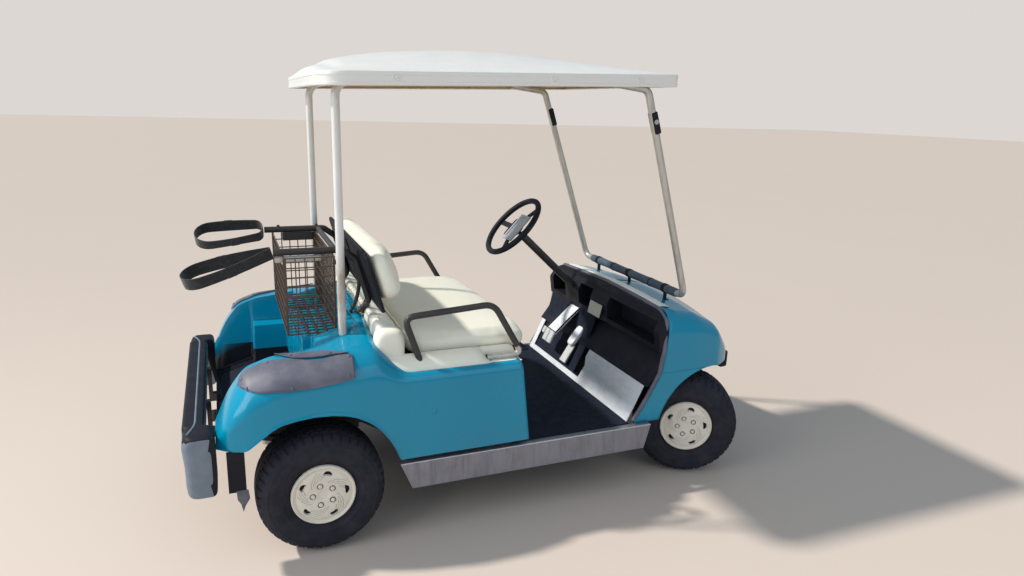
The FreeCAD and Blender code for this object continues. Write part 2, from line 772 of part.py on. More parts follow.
def pedals():
    low = S.dash_bottom - S.seat_gap
    brake = slab([(470, 425), (478, 421), (505, 478), (497, 482)], 185, 90)
    lever = slab([(500, 470), (506, 466), (654, low), (644, low)], 200, 60)
    park = slab([(482, 452), (490, 448), (505, 478), (497, 482)], 278, 30)
    web = slab([(497, 482), (505, 478), (508, 484), (500, 488)], 200, 108)
    node(shaped("brake", brake.fuse([lever, park, web])), "brake_pedal")
    base = (S.toe_foot + S.toe_run, S.floor_top - 8 + S.toe_rise)
    pad = slab([(516, 345), (524, 341), (578, 424), (570, 428)], 95, 60)
    arm = slab([(568, 424), (576, 420), (base[0] + 10, base[1] + 1.7), (base[0] + 0.5, base[1] + 1.7)], 115, 20)
    node(shaped("accelerator", pad.fuse(arm)), "accelerator_pedal")


# Steering column and wheel

def column_axis():
    """Unit vector from the dash up to the steering wheel."""
    angle = math.radians(S.column_angle)
    return Vector(-math.cos(angle), 0, math.sin(angle))


def column_point(distance):
    """A point on the column's axis, below the steering wheel's centre."""
    return Vector(S.wheel_ahead, S.wheel_side, S.wheel_height) - column_axis() * distance


def steering_column():
    """The outer tube, clamped by the dash, and the steering gear on its post from the frame."""
    down = column_axis() * -1
    tube_body = Part.makeCylinder(S.column_radius, S.column_length - 60, column_point(60), down)
    bore = Part.makeCylinder(S.shaft_radius + S.running_gap, 180, column_point(60), down)
    foot = column_point(S.column_length)
    gear = block((-40, -40, -32), (40, 40, 32))
    gear.Placement = Placement(foot, Rotation(Y, S.column_angle))
    stand = S.rail_side + S.rail_width - 4
    post = block((foot.x - 15, stand - 32, S.front_rail_top + S.seat_gap), (foot.x + 15, stand, foot.z + 10))
    arm = block((foot.x - 15, stand - 1, foot.z - 16), (foot.x + 15, foot.y - 36, foot.z + 10))
    node(shaped("column", tube_body.fuse([gear, post, arm]).cut(bore)), "steering_column")


def steering_wheel():
    ring = Part.makeTorus(S.grip_radius, S.grip_thick)
    hub = Part.makeCylinder(38, 30, Vector(0, 0, -34))
    shaft = Part.makeCylinder(S.shaft_radius, 190, Vector(0, 0, -220))
    spokes = []
    for angle in (90, 210, 330):
        spoke = Part.makeBox(S.grip_radius, 26, 8, Vector(0, -13, -14))
        spoke.rotate(Vector(), Z, angle)
        spokes.append(spoke)
    wheel = ring.fuse([hub, shaft] + spokes)
    piece = node(shaped("hand_wheel", wheel), "steering_wheel")
    place = Placement(column_point(0), Rotation(Z, column_axis()))
    piece.Placement = place
    clip = block((-75, -95, -4 + S.seat_gap), (75, 5, 4))
    holder = node(shaped("card_clip", clip.cut(block((-60, -80, 0), (60, -10, 10)))), "scorecard_holder")
    holder.Placement = place


# Body panels

# columns: ahead of the rear axle, half width, top of the side, crest side, crest height, middle height
REAR_SECTIONS = (
    (799, 572, 600, 545, 643, 644.5),
    (310, 574, 600, 545, 643, 644.5),
    (265, 579, 612, 490, 684, 694),
    (205, 585, 622, 455, 755, 828),
    (65, 593, 625, 455, 738, 775),
    (-35, 595, 625, 455, 722, 730),
    (-150, 594, 605, 455, 710, 716),
    (-235, 588, 560, 450, 680, 686),
    (-295, 572, 515, 440, 600, 606),
    (-341, 535, 465, 425, 492, 497),
)

# columns: ahead of the front axle, half width, top of the side, crest side, crest height, middle height
FRONT_SECTIONS = (
    (-400, 545, 640, 470, 768, 785),
    (-225, 545, 660, 462, 770, 786),
    (-80, 540, 660, 445, 745, 768),
    (35, 525, 620, 430, 690, 735),
    (110, 480, 540, 385, 615, 675),
    (180, 395, 495, 300, 560, 622),
    (240, 270, 480, 190, 530, 572),
    (273, 150, 470, 100, 496, 515),
)


def placed(table, axle):
    return [(axle + row[0],) + row[1:] for row in table]


def grown(table, axle, grow):
    """The outside of a moulding, moved out by a clearance or in where the clearance is negative."""
    sections = [(x, half + grow, side + grow, crest_side + grow / 2, crest + grow, middle + grow)
                for x, half, side, crest_side, crest, middle in placed(table, axle)]
    return Part.makeLoft([vault(*row, 240) for row in sections], True, True)


def rear_hull(grow):
    return grown(REAR_SECTIONS, -S.rear_axle_back, grow)


def front_hull(grow):
    return grown(FRONT_SECTIONS, S.front_axle_ahead, grow)


def arch_cutter(points, half):
    """A wheel opening through both sides, from arcs through every second point."""
    edges = [Part.Arc(*[Vector(x, -half, z) for x, z in points[i:i + 3]]).toShape()
             for i in range(0, len(points) - 2, 2)]
    first, last = points[0], points[-1]
    corners = [last, (last[0], 100), (first[0], 100), first]
    edges += [Part.LineSegment(Vector(a[0], -half, a[1]), Vector(b[0], -half, b[1])).toShape()
              for a, b in zip(corners, corners[1:])]
    return Part.Face(Part.Wire(edges)).extrude(Vector(0, 2 * half, 0))


def rear_body():
    """One moulding: side panels, fenders, seat box and the open bag well behind the seat."""
    wall = S.panel_wall
    outer, inner = shell(placed(REAR_SECTIONS, -S.rear_axle_back), wall, S.floor_top - 60)
    rear = S.well_front - 420

    def floor_at(x, grow):
        return S.well_floor - grow - S.well_slope * (S.well_front - x)

    def well(grow):
        points = [(S.well_front + grow, 900), (S.well_front + grow, floor_at(S.well_front + grow, grow)),
                  (rear, floor_at(rear, grow)), (rear, 900)]
        tub = slab(points, -S.well_half - grow, 2 * (S.well_half + grow))
        recess = block((S.well_front - 100, -S.recess_half - grow, S.recess_floor - grow),
                       (S.recess_front + grow, S.recess_half + grow, 900))
        for side in (RIGHT, LEFT):
            low, high = sorted((side * (S.housing_side + grow), side * 700))
            tub = tub.cut(block((S.housing_rear + grow, low, 0),
                                (S.housing_front - grow, high, S.housing_top - grow)))
        return tub.fuse(recess)

    def ahead(back):
        """Everything in front of the seat box's leaning face, moved back by a wall."""
        foot, top = S.body_front - back, S.body_front - S.body_lean - back
        return slab([(foot, 100), (foot, S.body_floor), (top, S.body_side_top), (top, 900), (200, 900),
                     (200, 100)], -700, 1400)

    skin = outer.cut(inner.cut(ahead(wall))).fuse(well(wall).common(outer))
    arch = arch_cutter([(-1020, 400), (-965, 480), (-860, 531), (-790, 540), (-722, 534), (-580, 476),
                        (-484, 240)], 700)
    beside_well = S.well_half + 2 * wall
    trims = [
        ahead(0),
        arch.cut(block((-1300, -beside_well, 0), (100, beside_well, 1000))),
        block((-450, -S.seat_half + 65, 600), (-50, S.seat_half - 65, 760)),
        block((-1300, -500, 0), (200, 500, S.floor_top + S.seat_gap)),
        slab([(-1000, 100), (-1000, floor_at(-1000, wall + 1)), (-1300, floor_at(-1300, wall + 1)),
              (-1300, 100)], -beside_well, 2 * beside_well),
    ]
    for side in (RIGHT, LEFT):
        low, high = sorted((side * beside_well, side * 700))
        trims.append(block((-1300, low, 0), (-1010, high, 442)))
        low, high = sorted((side * 499, side * 700))
        trims.append(block((-1300, low, 0), (200, high, S.body_floor)))
    node(shaped("rear_moulding", skin.cut([well(0)] + trims)), "rear_body")


def bag_well_liner():
    rear = -1085
    drop = (S.well_front - rear) * S.well_slope
    gap = S.seat_gap
    mat = slab([(S.well_front - 2, S.well_floor + gap), (S.well_front - 2, S.well_floor + gap + S.well_mat),
                (rear, S.well_floor - drop + gap + S.well_mat), (rear, S.well_floor - drop + gap)],
               -S.housing_side + 2, 2 * S.housing_side - 4)
    node(shaped("well_mat", mat), "bag_well_liner")


def front_cowl():
    """The nose moulding, open to the footwell, with a cut for each steered wheel."""
    axle = S.front_axle_ahead
    outer, inner = shell(placed(FRONT_SECTIONS, axle), S.panel_wall, 240)
    edge = slab([(400, 200), (522, 200), (528, 285), (600, 400), (655, 508), (670, 610), (687, 770), (690, 900),
                 (400, 900)], -700, 1400)
    arch = Part.makeCylinder(S.front_arch_radius, 1400, Vector(axle + 4, -700, S.tyre_radius), Y)
    below = block((axle - 60, -700, 0), (1300, 700, 500))
    low = block((300, -700, 0), (800, 700, S.sill_top + S.seat_gap))
    seat = trim_strip(S.trim_radius + S.seat_gap)
    node(shaped("nose_moulding", outer.cut([inner, edge, arch, below, low]).cut(seat)), "front_cowl")


def trim_strip(radius):
    """A round strip along the edge of the footwell opening, up one side and down the other."""
    path = [(530, 542, 308), (589.5, 542, 403), (644.5, 542, 509), (661, 542, 616), (677, 520, 732),
            (677.3, 456, 768)]
    right = [Vector(x, -y, z) for x, y, z in path]
    left = [Vector(x, y, z) for x, y, z in reversed(path)]
    return tube(right + [Vector(677.3, 0, 785)] + left, 28, radius)


def cowl_trim():
    node(shaped("edge_strip", trim_strip(S.trim_radius)), "cowl_trim")


def sill_panels():
    """Pressed rockers: a flat face with a lip turned inward above and below."""
    face = prism("sill", "XZ_Plane", [
        ("-484", "sill_top"), ("602", "sill_top"), ("574", "sill_bottom"), ("-439", "sill_bottom"),
    ], "sill_side - sill_depth", "sill_depth")
    hollow = prism("sill_hollow", "XZ_Plane", [
        ("-600", "sill_top - sill_sheet"), ("700", "sill_top - sill_sheet"),
        ("700", "sill_bottom + sill_sheet"), ("-600", "sill_bottom + sill_sheet"),
    ], "sill_side - sill_depth - 1", "sill_depth + 1 - sill_sheet")
    node(pair("sills", cut("sill_pressing", face, hollow)), "sill_panels")


# Bumpers and guards

def rear_bumper():
    """A moulded beam with a deep block at each end."""
    back, depth = -S.bumper_rear, S.bumper_depth
    inset = S.bumper_block / 2
    bar = block((back, -S.bumper_half + inset, S.bumper_top - S.bumper_bar),
                (back + depth, S.bumper_half - inset, S.bumper_top))
    blocks = []
    for side in (RIGHT, LEFT):
        low, high = sorted((side * (S.bumper_half - S.bumper_block), side * S.bumper_half))
        blocks.append(block((back, low, S.bumper_foot), (back + S.bumper_block, high, S.bumper_top)))
    beam = bar.fuse(blocks).removeSplitter()
    upright = [edge for edge in beam.Edges
               if abs(edge.CenterOfMass.x - back) < 1 and abs(abs(edge.CenterOfMass.y) - S.bumper_half) < 1]
    node(shaped("beam_rear", beam.makeFillet(34, upright)), "rear_bumper")


def front_bumper():
    nose = S.front_axle_ahead + S.nose_reach
    bar = block((nose - S.nose_bumper_depth, -S.nose_bumper_half, S.nose_bumper_bottom),
                (nose, S.nose_bumper_half, S.nose_bumper_top))
    half = S.nose_bumper_half
    corners = [edge for edge in bar.Edges
               if abs(edge.CenterOfMass.x - nose) < 1 and abs(abs(edge.CenterOfMass.y) - half) < 1]
    node(shaped("beam_front", bar.makeFillet(45, corners)), "front_bumper")


def fender_guards():
    """A thick pad that lies over the crest of each rear fender."""
    side_view = [(-1030, 686), (-1005, 648), (-900, 636), (-655, 650), (-655, 800), (-1030, 800)]
    skin = rear_hull(S.guard_thick).cut(rear_hull(S.seat_gap))
    pad = skin.common(slab(side_view, -600, 600 - S.well_half - 6))
    node(pair("guards", shaped("fender_guard", pad)), "fender_guards")


def splash_guards():
    flap = block((-1076, -572, 290), (-1019, -566, 441.7))
    node(pair("flaps", shaped("splash_guard", flap)), "rear_splash_guards")


# Seat

def seat_deck():
    """The dark rim that closes the seat box, open in the middle over the engine."""
    top = S.body_side_top + 0.3
    tray = block((-450, -S.seat_half + 20, top), (-10, S.seat_half - 20, top + 6))
    opening = block((-430, -S.seat_half + 70, top - 10), (-60, S.seat_half - 70, top + 20))
    node(shaped("deck_rim", tray.cut(opening)), "seat_deck")


def seat_hinges():
    """Two brackets on the seat box front, each with a pin along Y."""
    solids = []
    for side in (RIGHT, LEFT):
        y = side * 300
        plate = block((S.body_front - S.body_lean + 5, y - 30, SEAT_PIVOT_HEIGHT - 30),
                      (S.seat_pivot_ahead + 8, y - 24, SEAT_PIVOT_HEIGHT + 8))
        pin_end = Vector(S.seat_pivot_ahead, y - 30, SEAT_PIVOT_HEIGHT)
        pin = Part.makeCylinder(S.seat_pivot_radius, 60, pin_end, Y)
        solids.append(plate.fuse(pin))
    node(shaped("hinge_brackets", Part.makeCompound(solids)), "seat_hinges")


def seat_pan():
    """A stiff board under the cushion with two hinge barrels at its front."""
    top = S.seat_bottom - S.seat_gap
    board = block((S.seat_rear + 6, -S.seat_half + 14, top - S.seat_pan_thick), (62, S.seat_half - 14, top))
    solids = []
    cuts = []
    for side in (RIGHT, LEFT):
        y = side * 300
        base = Vector(S.seat_pivot_ahead, y - 20, SEAT_PIVOT_HEIGHT)
        solids.append(Part.makeCylinder(S.seat_pivot_radius + 5, 44, base, Y))
        solids.append(block((S.seat_pivot_ahead - 4, y - 20, SEAT_PIVOT_HEIGHT + 8),
                            (S.seat_pivot_ahead + 4, y + 24, top - 1)))
        cuts.append(Part.makeCylinder(S.seat_pivot_radius + S.running_gap, 46, base - Y, Y))
    node(shaped("seat_board", board.fuse(solids).cut(cuts)), "seat_pan")


def seat_cushion():
    rear, front, low, high = S.seat_rear, S.seat_front, S.seat_bottom, S.seat_top
    points = [(rear, low), (rear, high - 8), (rear + 30, high), (front - 70, high - 8), (front - 12, high - 34),
              (front, low + 26), (front - 8, low)]
    node(shaped("seat_foam", slab(points, -S.seat_half, 2 * S.seat_half)), "seat_cushion")


def seat_rear_shelf():
    front = S.seat_rear - 3
    points = [(front, 652), (front, 752), (front - 47, 782), (S.shelf_rear, 838), (S.shelf_rear - 8, 838),
              (S.shelf_rear - 8, 652)]
    pad = slab(points, -S.back_half, 2 * S.back_half)
    node(shaped("shelf_pad", pad.cut([rear_hull(S.seat_gap), rack_bars(S.rack_radius + S.seat_gap)])),
         "seat_rear_shelf")


def back_point(depth, side, height):
    """A point of the seat back: behind its front face, across, and up its own lean."""
    lean = math.radians(S.back_lean)
    return Vector(S.back_front - depth * math.cos(lean) - height * math.sin(lean), side,
                  S.back_bottom + 6 - depth * math.sin(lean) + height * math.cos(lean))


def backrest():
    place = Placement(back_point(0, 0, 0), Rotation(Y, -S.back_lean))
    cushion = Part.makeBox(S.back_thick, 2 * S.back_half, S.back_height, Vector(-S.back_thick, -S.back_half, 0))
    piece = node(shaped("back_foam", cushion), "backrest_cushion")
    piece.Placement = place
    back = Vector(-S.back_thick - S.back_panel - S.seat_gap, -S.back_half + 5, -8)
    panel = Part.makeBox(S.back_panel, 2 * S.back_half - 10, S.back_height + 4, back)
    piece = node(shaped("back_shell", panel), "backrest_panel")
    piece.Placement = place


# Bent tubes

def armrests():
    """A bent tube on each side with both feet on the body: the front one runs back along its top."""
    side = -S.seat_half - S.armrest_gap
    low = S.body_side_top + S.armrest_radius - 2
    points = [(-130, low), (17, low), (-105, 867), (-451, 842), (-383, S.body_side_top - 20)]
    bar = tube([Vector(x, side, z) for x, z in points], 38, S.armrest_radius).cut(rear_hull(S.seat_gap))
    node(pair("arm_tubes", shaped("armrest", bar)), "armrests")


RACK_END = -872


def rack_bars(radius):
    """Two bars from the deck up behind the seat back and out over the bag well."""
    behind = S.back_thick + S.back_panel + S.rack_radius + 2 * S.seat_gap
    low = back_point(behind, -S.rack_side, 0)
    high = back_point(behind, -S.rack_side, 172)
    rack = S.rack_height
    points = [Vector(-600, -S.rack_side, 760), low, high, Vector(-625, -S.rack_side, rack),
              Vector(RACK_END, -S.rack_side, rack)]
    bar = tube(points, 28, radius)
    return Part.makeCompound([bar, bar.mirror(Vector(), Y)])


def bag_rack_frame():
    """The two bars and the tie between them."""
    tie = Part.makeCylinder(S.rack_radius - 2, 2 * S.rack_side, Vector(-650, -S.rack_side, S.rack_height), Y)
    frame = rack_bars(S.rack_radius).fuse(tie).cut(rear_hull(S.seat_gap))
    node(shaped("rack_tubes", frame), "bag_rack_frame")


def rear_roof_posts():
    side = -S.rear_post_side
    x = -S.rear_post_back
    top = S.rear_post_top
    points = [Vector(x, side, 700), Vector(x, side, top - 47), Vector(x + 200, side, top)]
    bar = tube(points, 60, S.post_radius).cut(rear_hull(S.seat_gap))
    node(pair("posts", shaped("rear_post", bar)), "rear_roof_posts")


def front_roof_frame():
    """One hoop: up from the cowl on both sides, joined across its foot."""
    foot = Vector(S.hoop_foot, -S.front_post_side + 16, S.hoop_height)
    shoulder = Vector(525, -S.front_post_side - 14, S.front_post_top - 22)
    end = Vector(340, -S.front_post_side - 14, S.front_post_top)
    right = [end, shoulder, foot]
    left = [Vector(point.x, -point.y, point.z) for point in reversed(right)]
    node(shaped("front_hoop", tube(right + left, 40, S.post_radius)), "front_roof_frame")


def windshield_clips():
    """Three clips that seat the hoop's lower bar on the cowl."""
    bar = Part.makeCylinder(S.post_radius + S.seat_gap, 1000, Vector(S.hoop_foot, -500, S.hoop_height), Y)
    solids = []
    for y in (-300, 0, 300):
        clip = block((S.hoop_foot - 24, y - 20, 700), (S.hoop_foot + 24, y + 20, S.hoop_height + 24))
        solids.append(clip.cut([bar, front_hull(S.seat_gap)]))
    node(shaped("screen_clips", Part.makeCompound(solids)), "windshield_clips")


# Canopy

def roof_canopy():
    """A crowned shell with a rim turned down all round and a boss over each post."""
    front, rear = S.roof_front, -S.roof_rear
    length = front - rear
    corner = S.roof_corner

    def section(x, grow):
        share = (x - rear) / length
        rim_low = S.roof_rim_rear + (S.roof_rim_front - S.roof_rim_rear) * share
        rim_top = rim_low + S.roof_rim
        to_corner = max(0, rear + corner - x) / corner
        half = S.roof_half - corner * (1 - math.sqrt(max(0, 1 - to_corner ** 2)))
        rise = S.roof_rise * math.sin(math.pi * min(max(share, 0.03), 0.94) ** 0.8) ** 0.6
        return vault(x, half - grow, rim_top - 8 - grow, half - 30 - grow, rim_top + 8 - grow,
                     rim_top + 12 + rise - grow, rim_low - (grow and 20))

    stations = [rear, rear + 0.06 * corner, rear + 0.25 * corner, rear + 0.6 * corner, rear + corner]
    stations += [rear + share * length for share in (0.16, 0.3, 0.5, 0.7, 0.86, 0.965, 1)]
    inside = [rear + S.roof_wall] + stations[2:-1] + [front - S.roof_wall]
    outer = Part.makeLoft([section(x, 0) for x in stations], True, True)
    inner = Part.makeLoft([section(x, S.roof_wall) for x in inside], True, True)
    bosses = []
    for x, y, top in ((340, S.front_post_side + 14, S.front_post_top),
                      (-450, S.rear_post_side, S.rear_post_top)):
        low = top + S.post_radius + 2.5 * S.seat_gap
        for side in (RIGHT, LEFT):
            column = block((x - 30, side * y - 18, low), (x + 60, side * y + 18, low + 2 * S.roof_rise))
            bosses.append(column.common(outer))
    node(shaped("canopy", outer.cut(inner).fuse(bosses)), "roof_canopy")


# Basket and straps

def wire_panel(width, height):
    """A flat grid of square bars in the XY plane."""
    wire = S.basket_wire
    across = max(2, round(width / S.basket_pitch))
    up = max(2, round(height / S.basket_pitch))
    step_a, step_b = (width - wire) / across, (height - wire) / up
    plate = Part.makeBox(width, height, wire)
    holes = [Part.makeBox(step_a - wire, step_b - wire, 3 * wire,
                          Vector(wire + i * step_a, wire + j * step_b, -wire))
             for i in range(across) for j in range(up)]
    return plate.cut(Part.makeCompound(holes))


def wire_basket():
    """Five flat panels of welded wire, clipped edge to edge and hung under the rack bars."""
    top = S.rack_height - S.rack_radius - S.seat_gap
    low = S.basket_bottom
    back, front = -S.rear_post_back - 190, -S.rear_post_back - 8
    half = S.basket_half
    edge = S.basket_wire + S.seat_gap
    inner = front - back - 2 * edge
    floor = wire_panel(inner, 2 * (half - edge))
    floor.translate(Vector(back + edge, edge - half, low))
    panels = [floor]
    for x in (back, front - S.basket_wire):
        wall = wire_panel(2 * half, top - low)
        wall.rotate(Vector(), X, 90)
        wall.rotate(Vector(), Z, 90)
        wall.translate(Vector(x, -half, low))
        panels.append(wall)
    for y in (-half, half - S.basket_wire):
        wall = wire_panel(inner, top - low)
        wall.rotate(Vector(), X, 90)
        wall.translate(Vector(back + edge, y + S.basket_wire, low))
        panels.append(wall)
    node(shaped("basket", Part.makeCompound(panels)), "wire_basket")


def racetrack(radius):
    """A flat loop's filled outline, one strap high, that starts at x = 0 and runs rearward."""
    run = S.strap_reach - S.strap_loop
    low = -S.strap_width / 2
    hull = Part.makeBox(run, 2 * radius, S.strap_width, Vector(-run - S.strap_loop, -radius, low))
    ends = [Part.makeCylinder(radius, S.strap_width, Vector(x, 0, low))
            for x in (-S.strap_loop, -run - S.strap_loop)]
    return hull.fuse(ends)


def bag_straps():
    """Two webbing loops for the tops of golf bags: the right one hangs down, the left one leans over."""
    loops = []
    for side, droop, roll in ((RIGHT, S.strap_droop, 0), (LEFT, 0, S.strap_roll)):
        loop = racetrack(S.strap_loop).cut(racetrack(S.strap_loop - S.strap_thick))
        turn = Rotation(Y, -droop).multiply(Rotation(X, roll))
        setback = S.seat_gap + S.rack_radius * math.sin(math.radians(droop))
        loop.Placement = Placement(Vector(RACK_END - setback, side * S.rack_side, S.rack_height), turn)
        loops.append(loop)
    node(shaped("webbing", Part.makeCompound(loops)), "bag_straps")


# Build

wheels()
front_axle()
for side, hand in ((RIGHT, "right"), (LEFT, "left")):
    knuckle(side, hand)
tie_rod()
rear_axle()
chassis_frame()
floor_outriggers()
springs()
engine()
floor_pan()
toe_plate()
front_bulkhead()
dashboard()
dash_placard()
pedals()
steering_column()
steering_wheel()
rear_body()
bag_well_liner()
front_cowl()
cowl_trim()
sill_panels()
rear_bumper()
front_bumper()
fender_guards()
splash_guards()
seat_deck()
seat_hinges()
seat_pan()
seat_cushion()
seat_rear_shelf()
backrest()
armrests()
bag_rack_frame()
rear_roof_posts()
front_roof_frame()
windshield_clips()
roof_canopy()
wire_basket()
bag_straps()
doc.recompute()

faults = [thing.Label for thing in doc.Objects if "Invalid" in thing.State or "Error" in thing.State]
faults += [thing.Label for thing in NODES if thing.Shape.isNull() or not thing.Shape.isValid()]
if faults:
    raise RuntimeError("not built: " + ", ".join(faults))
for thing in NODES:
    thing.Shape.exportStep("parts/" + thing.Label + ".step")
print(len(NODES), "parts")
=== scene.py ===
import json
import math

import bmesh
import bpy
import numpy as np
from mathutils import Matrix, Vector

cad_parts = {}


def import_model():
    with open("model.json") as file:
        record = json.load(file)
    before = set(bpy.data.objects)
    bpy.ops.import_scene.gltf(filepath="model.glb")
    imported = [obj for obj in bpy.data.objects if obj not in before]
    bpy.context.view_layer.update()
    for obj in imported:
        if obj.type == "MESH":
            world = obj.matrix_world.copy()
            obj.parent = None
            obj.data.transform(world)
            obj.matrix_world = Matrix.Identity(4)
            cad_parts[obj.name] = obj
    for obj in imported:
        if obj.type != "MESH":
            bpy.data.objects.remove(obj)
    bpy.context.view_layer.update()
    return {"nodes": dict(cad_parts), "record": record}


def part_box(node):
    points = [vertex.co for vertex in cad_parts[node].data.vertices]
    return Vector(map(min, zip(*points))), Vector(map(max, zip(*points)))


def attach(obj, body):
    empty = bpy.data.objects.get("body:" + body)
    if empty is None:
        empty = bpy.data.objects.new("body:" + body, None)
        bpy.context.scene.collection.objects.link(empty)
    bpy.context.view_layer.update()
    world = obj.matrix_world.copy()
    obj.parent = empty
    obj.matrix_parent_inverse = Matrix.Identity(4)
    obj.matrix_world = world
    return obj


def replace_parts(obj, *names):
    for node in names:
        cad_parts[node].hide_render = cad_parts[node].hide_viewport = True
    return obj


# The looks of the golf cart. +X is forward, +Y is the left side and +Z is up. The near side of the photograph is
# the cart's right side, which is -Y. Shapes are worked out in millimetres, and Blender's own values are in metres.

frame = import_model()
scene = bpy.context.scene
scene.view_settings.view_transform = "Standard"


# Camera, fitted to the wheels

def photo_view():
    """A lens of 24.9 mm on a 36 mm sensor, turned by its right, up and backward directions."""
    data = bpy.data.cameras.new("camera")
    data.sensor_width = 36.0
    data.lens = 24.905
    camera = bpy.data.objects.new("camera", data)
    scene.collection.objects.link(camera)
    axes = ((0.92621, -0.37592, 0.02857), (0.06767, 0.24030, 0.96833), (-0.37088, -0.89495, 0.24801))
    place = Matrix(axes).transposed().to_4x4()
    place.translation = (-1.0311, -2.9187, 1.5917)
    camera.matrix_world = place
    scene.camera = camera


photo_view()


# Materials

class Paint:
    """A node material under construction. Its textures lie in the piece's own coordinates."""

    def __init__(self, name, color, rough, metal=0.0, **sockets):
        self.mat = bpy.data.materials.new(name)
        self.mat.use_nodes = True
        self.tree = self.mat.node_tree
        self.bsdf = self.tree.nodes["Principled BSDF"]
        self.color = (*color, 1.0)
        sockets.update(Base_Color=self.color, Roughness=rough, Metallic=metal)
        for key, value in sockets.items():
            self.bsdf.inputs[key.replace("_", " ")].default_value = value
        self.coords = self.tree.nodes.new("ShaderNodeTexCoord").outputs["Object"]
        self.normal = None

    def node(self, kind, output, inputs, **settings):
        """One output of a new node, whose inputs are linked or set."""
        node = self.tree.nodes.new("ShaderNode" + kind)
        for key, value in settings.items():
            setattr(node, key, value)
        for key, value in inputs.items():
            if isinstance(value, bpy.types.NodeSocket):
                self.tree.links.new(value, node.inputs[key])
            else:
                node.inputs[key].default_value = value
        return node.outputs[output]

    def stretched(self, stretch=(1, 1, 1)):
        return self.node("Mapping", 0, {"Scale": stretch, "Vector": self.coords})

    def noise(self, scale, detail=3.0, rough=0.55, stretch=(1, 1, 1)):
        return self.node("TexNoise", "Fac", {"Scale": scale, "Detail": detail, "Roughness": rough,
                                             "Vector": self.stretched(stretch)})

    def cells(self, scale, feature="F1"):
        return self.node("TexVoronoi", "Distance", {"Scale": scale, "Vector": self.stretched()}, feature=feature)

    def waves(self, scale, axis):
        return self.node("TexWave", "Fac", {"Scale": scale, "Vector": self.coords}, bands_direction=axis)

    def height(self, axis, low, high):
        """0 to 1 between two levels of one axis."""
        return self.spread(self.node("SeparateXYZ", axis, {0: self.coords}), low, high)

    def spread(self, value, low, high, out_low=0.0, out_high=1.0):
        return self.node("MapRange", "Result", {"Value": value, "From Min": low, "From Max": high, "To Min": out_low,
                                                "To Max": out_high}, clamp=True)

    def math(self, kind, a, b):
        return self.node("Math", 0, {0: a, 1: b}, operation=kind)

    def below(self, axis, low, high):
        """1 to 0 between two levels of one axis."""
        return self.math("SUBTRACT", 1.0, self.height(axis, low, high))

    def tint(self, share, color):
        """Mixes a colour over what is there."""
        self.color = self.node("Mix", "Result", {"Factor": share, "A": self.color, "B": (*color, 1.0)},
                               data_type="RGBA")
        self.tree.links.new(self.color, self.bsdf.inputs["Base Color"])
        return self

    def mottle(self, noise, low, high, share, color):
        """Patches of a colour where a noise rises from low to high."""
        return self.tint(self.spread(self.noise(*noise), low, high, 0.0, share), color)

    def gloss(self, value, low, high):
        self.tree.links.new(self.spread(value, 0.25, 0.75, low, high), self.bsdf.inputs["Roughness"])
        return self

    def bump(self, value, strength, distance):
        inputs = {"Strength": strength, "Distance": distance, "Height": value}
        if self.normal:
            inputs["Normal"] = self.normal
        self.normal = self.node("Bump", 0, inputs)
        self.tree.links.new(self.normal, self.bsdf.inputs["Normal"])
        return self


def paintwork(name):
    """Turquoise paint, dusty low down, and near-black low inside the bag well as painted shade."""
    p = Paint(name, (0.0, 0.235, 0.39), 0.3, Coat_Weight=0.3, Coat_Roughness=0.06, Specular_IOR_Level=0.3)
    p.mottle((1.6, 2), 0.35, 0.75, 0.8, (0.0, 0.27, 0.43))
    dust = p.math("MULTIPLY", p.below("Z", 0.29, 0.47), p.spread(p.noise(26, 6, 0.7), 0.45, 0.8, 0.0, 0.2))
    p.tint(dust, (0.17, 0.17, 0.16))
    p.mottle((60, 3, 0.6, (0.5, 0.5, 9)), 0.71, 0.78, 0.1, (0.2, 0.42, 0.5))
    # Painted shade: the paint turns near-black inside the bag well, up to just above its floor.
    across = p.math("SUBTRACT", p.height("Y", -0.407, -0.403), p.height("Y", 0.403, 0.407))
    well = p.math("MULTIPLY", across, p.below("X", -0.79, -0.787))
    p.tint(p.math("MULTIPLY", well, p.below("Z", 0.503, 0.506)), (0.012, 0.013, 0.02))
    p.gloss(p.noise(7, 4), 0.17, 0.28)
    p.bump(p.noise(3.2, 1.5), 0.12, 0.01)
    return p.bump(p.noise(420, 2), 0.05, 0.0006)


def vinyl(name):
    p = Paint(name, (0.83, 0.82, 0.71), 0.42, Sheen_Weight=0.08)
    p.mottle((7, 4), 0.4, 0.8, 0.45, (0.77, 0.755, 0.64))
    p.mottle((90, 3, 0.7), 0.66, 0.8, 0.35, (0.45, 0.4, 0.32))
    p.gloss(p.noise(16, 3), 0.36, 0.5)
    p.bump(p.noise(14, 3, 0.5), 0.14, 0.006)
    return p.bump(p.cells(620, "DISTANCE_TO_EDGE"), 0.16, 0.0005)


def canopy_paint(name):
    p = Paint(name, (0.74, 0.735, 0.71), 0.36, Coat_Weight=0.2, Coat_Roughness=0.25)
    p.mottle((5, 4), 0.42, 0.8, 0.3, (0.66, 0.65, 0.6))
    p.mottle((40, 5, 0.7, (1, 1, 4)), 0.62, 0.8, 0.25, (0.42, 0.4, 0.35))
    p.gloss(p.noise(12, 4), 0.3, 0.46)
    return p.bump(p.noise(160, 2), 0.06, 0.001)


def canopy_board(name):
    p = Paint(name, (0.62, 0.49, 0.3), 0.7)
    p.mottle((9, 4), 0.4, 0.75, 0.6, (0.5, 0.38, 0.22))
    return p.bump(p.noise(220, 3), 0.3, 0.001)


def rubber(name, color, dust, dust_share):
    p = Paint(name, color, 0.78)
    p.mottle((18, 6, 0.7), 0.4, 0.75, dust_share, dust)
    p.gloss(p.noise(30, 4), 0.68, 0.9)
    return p.bump(p.noise(380, 3), 0.2, 0.0007)


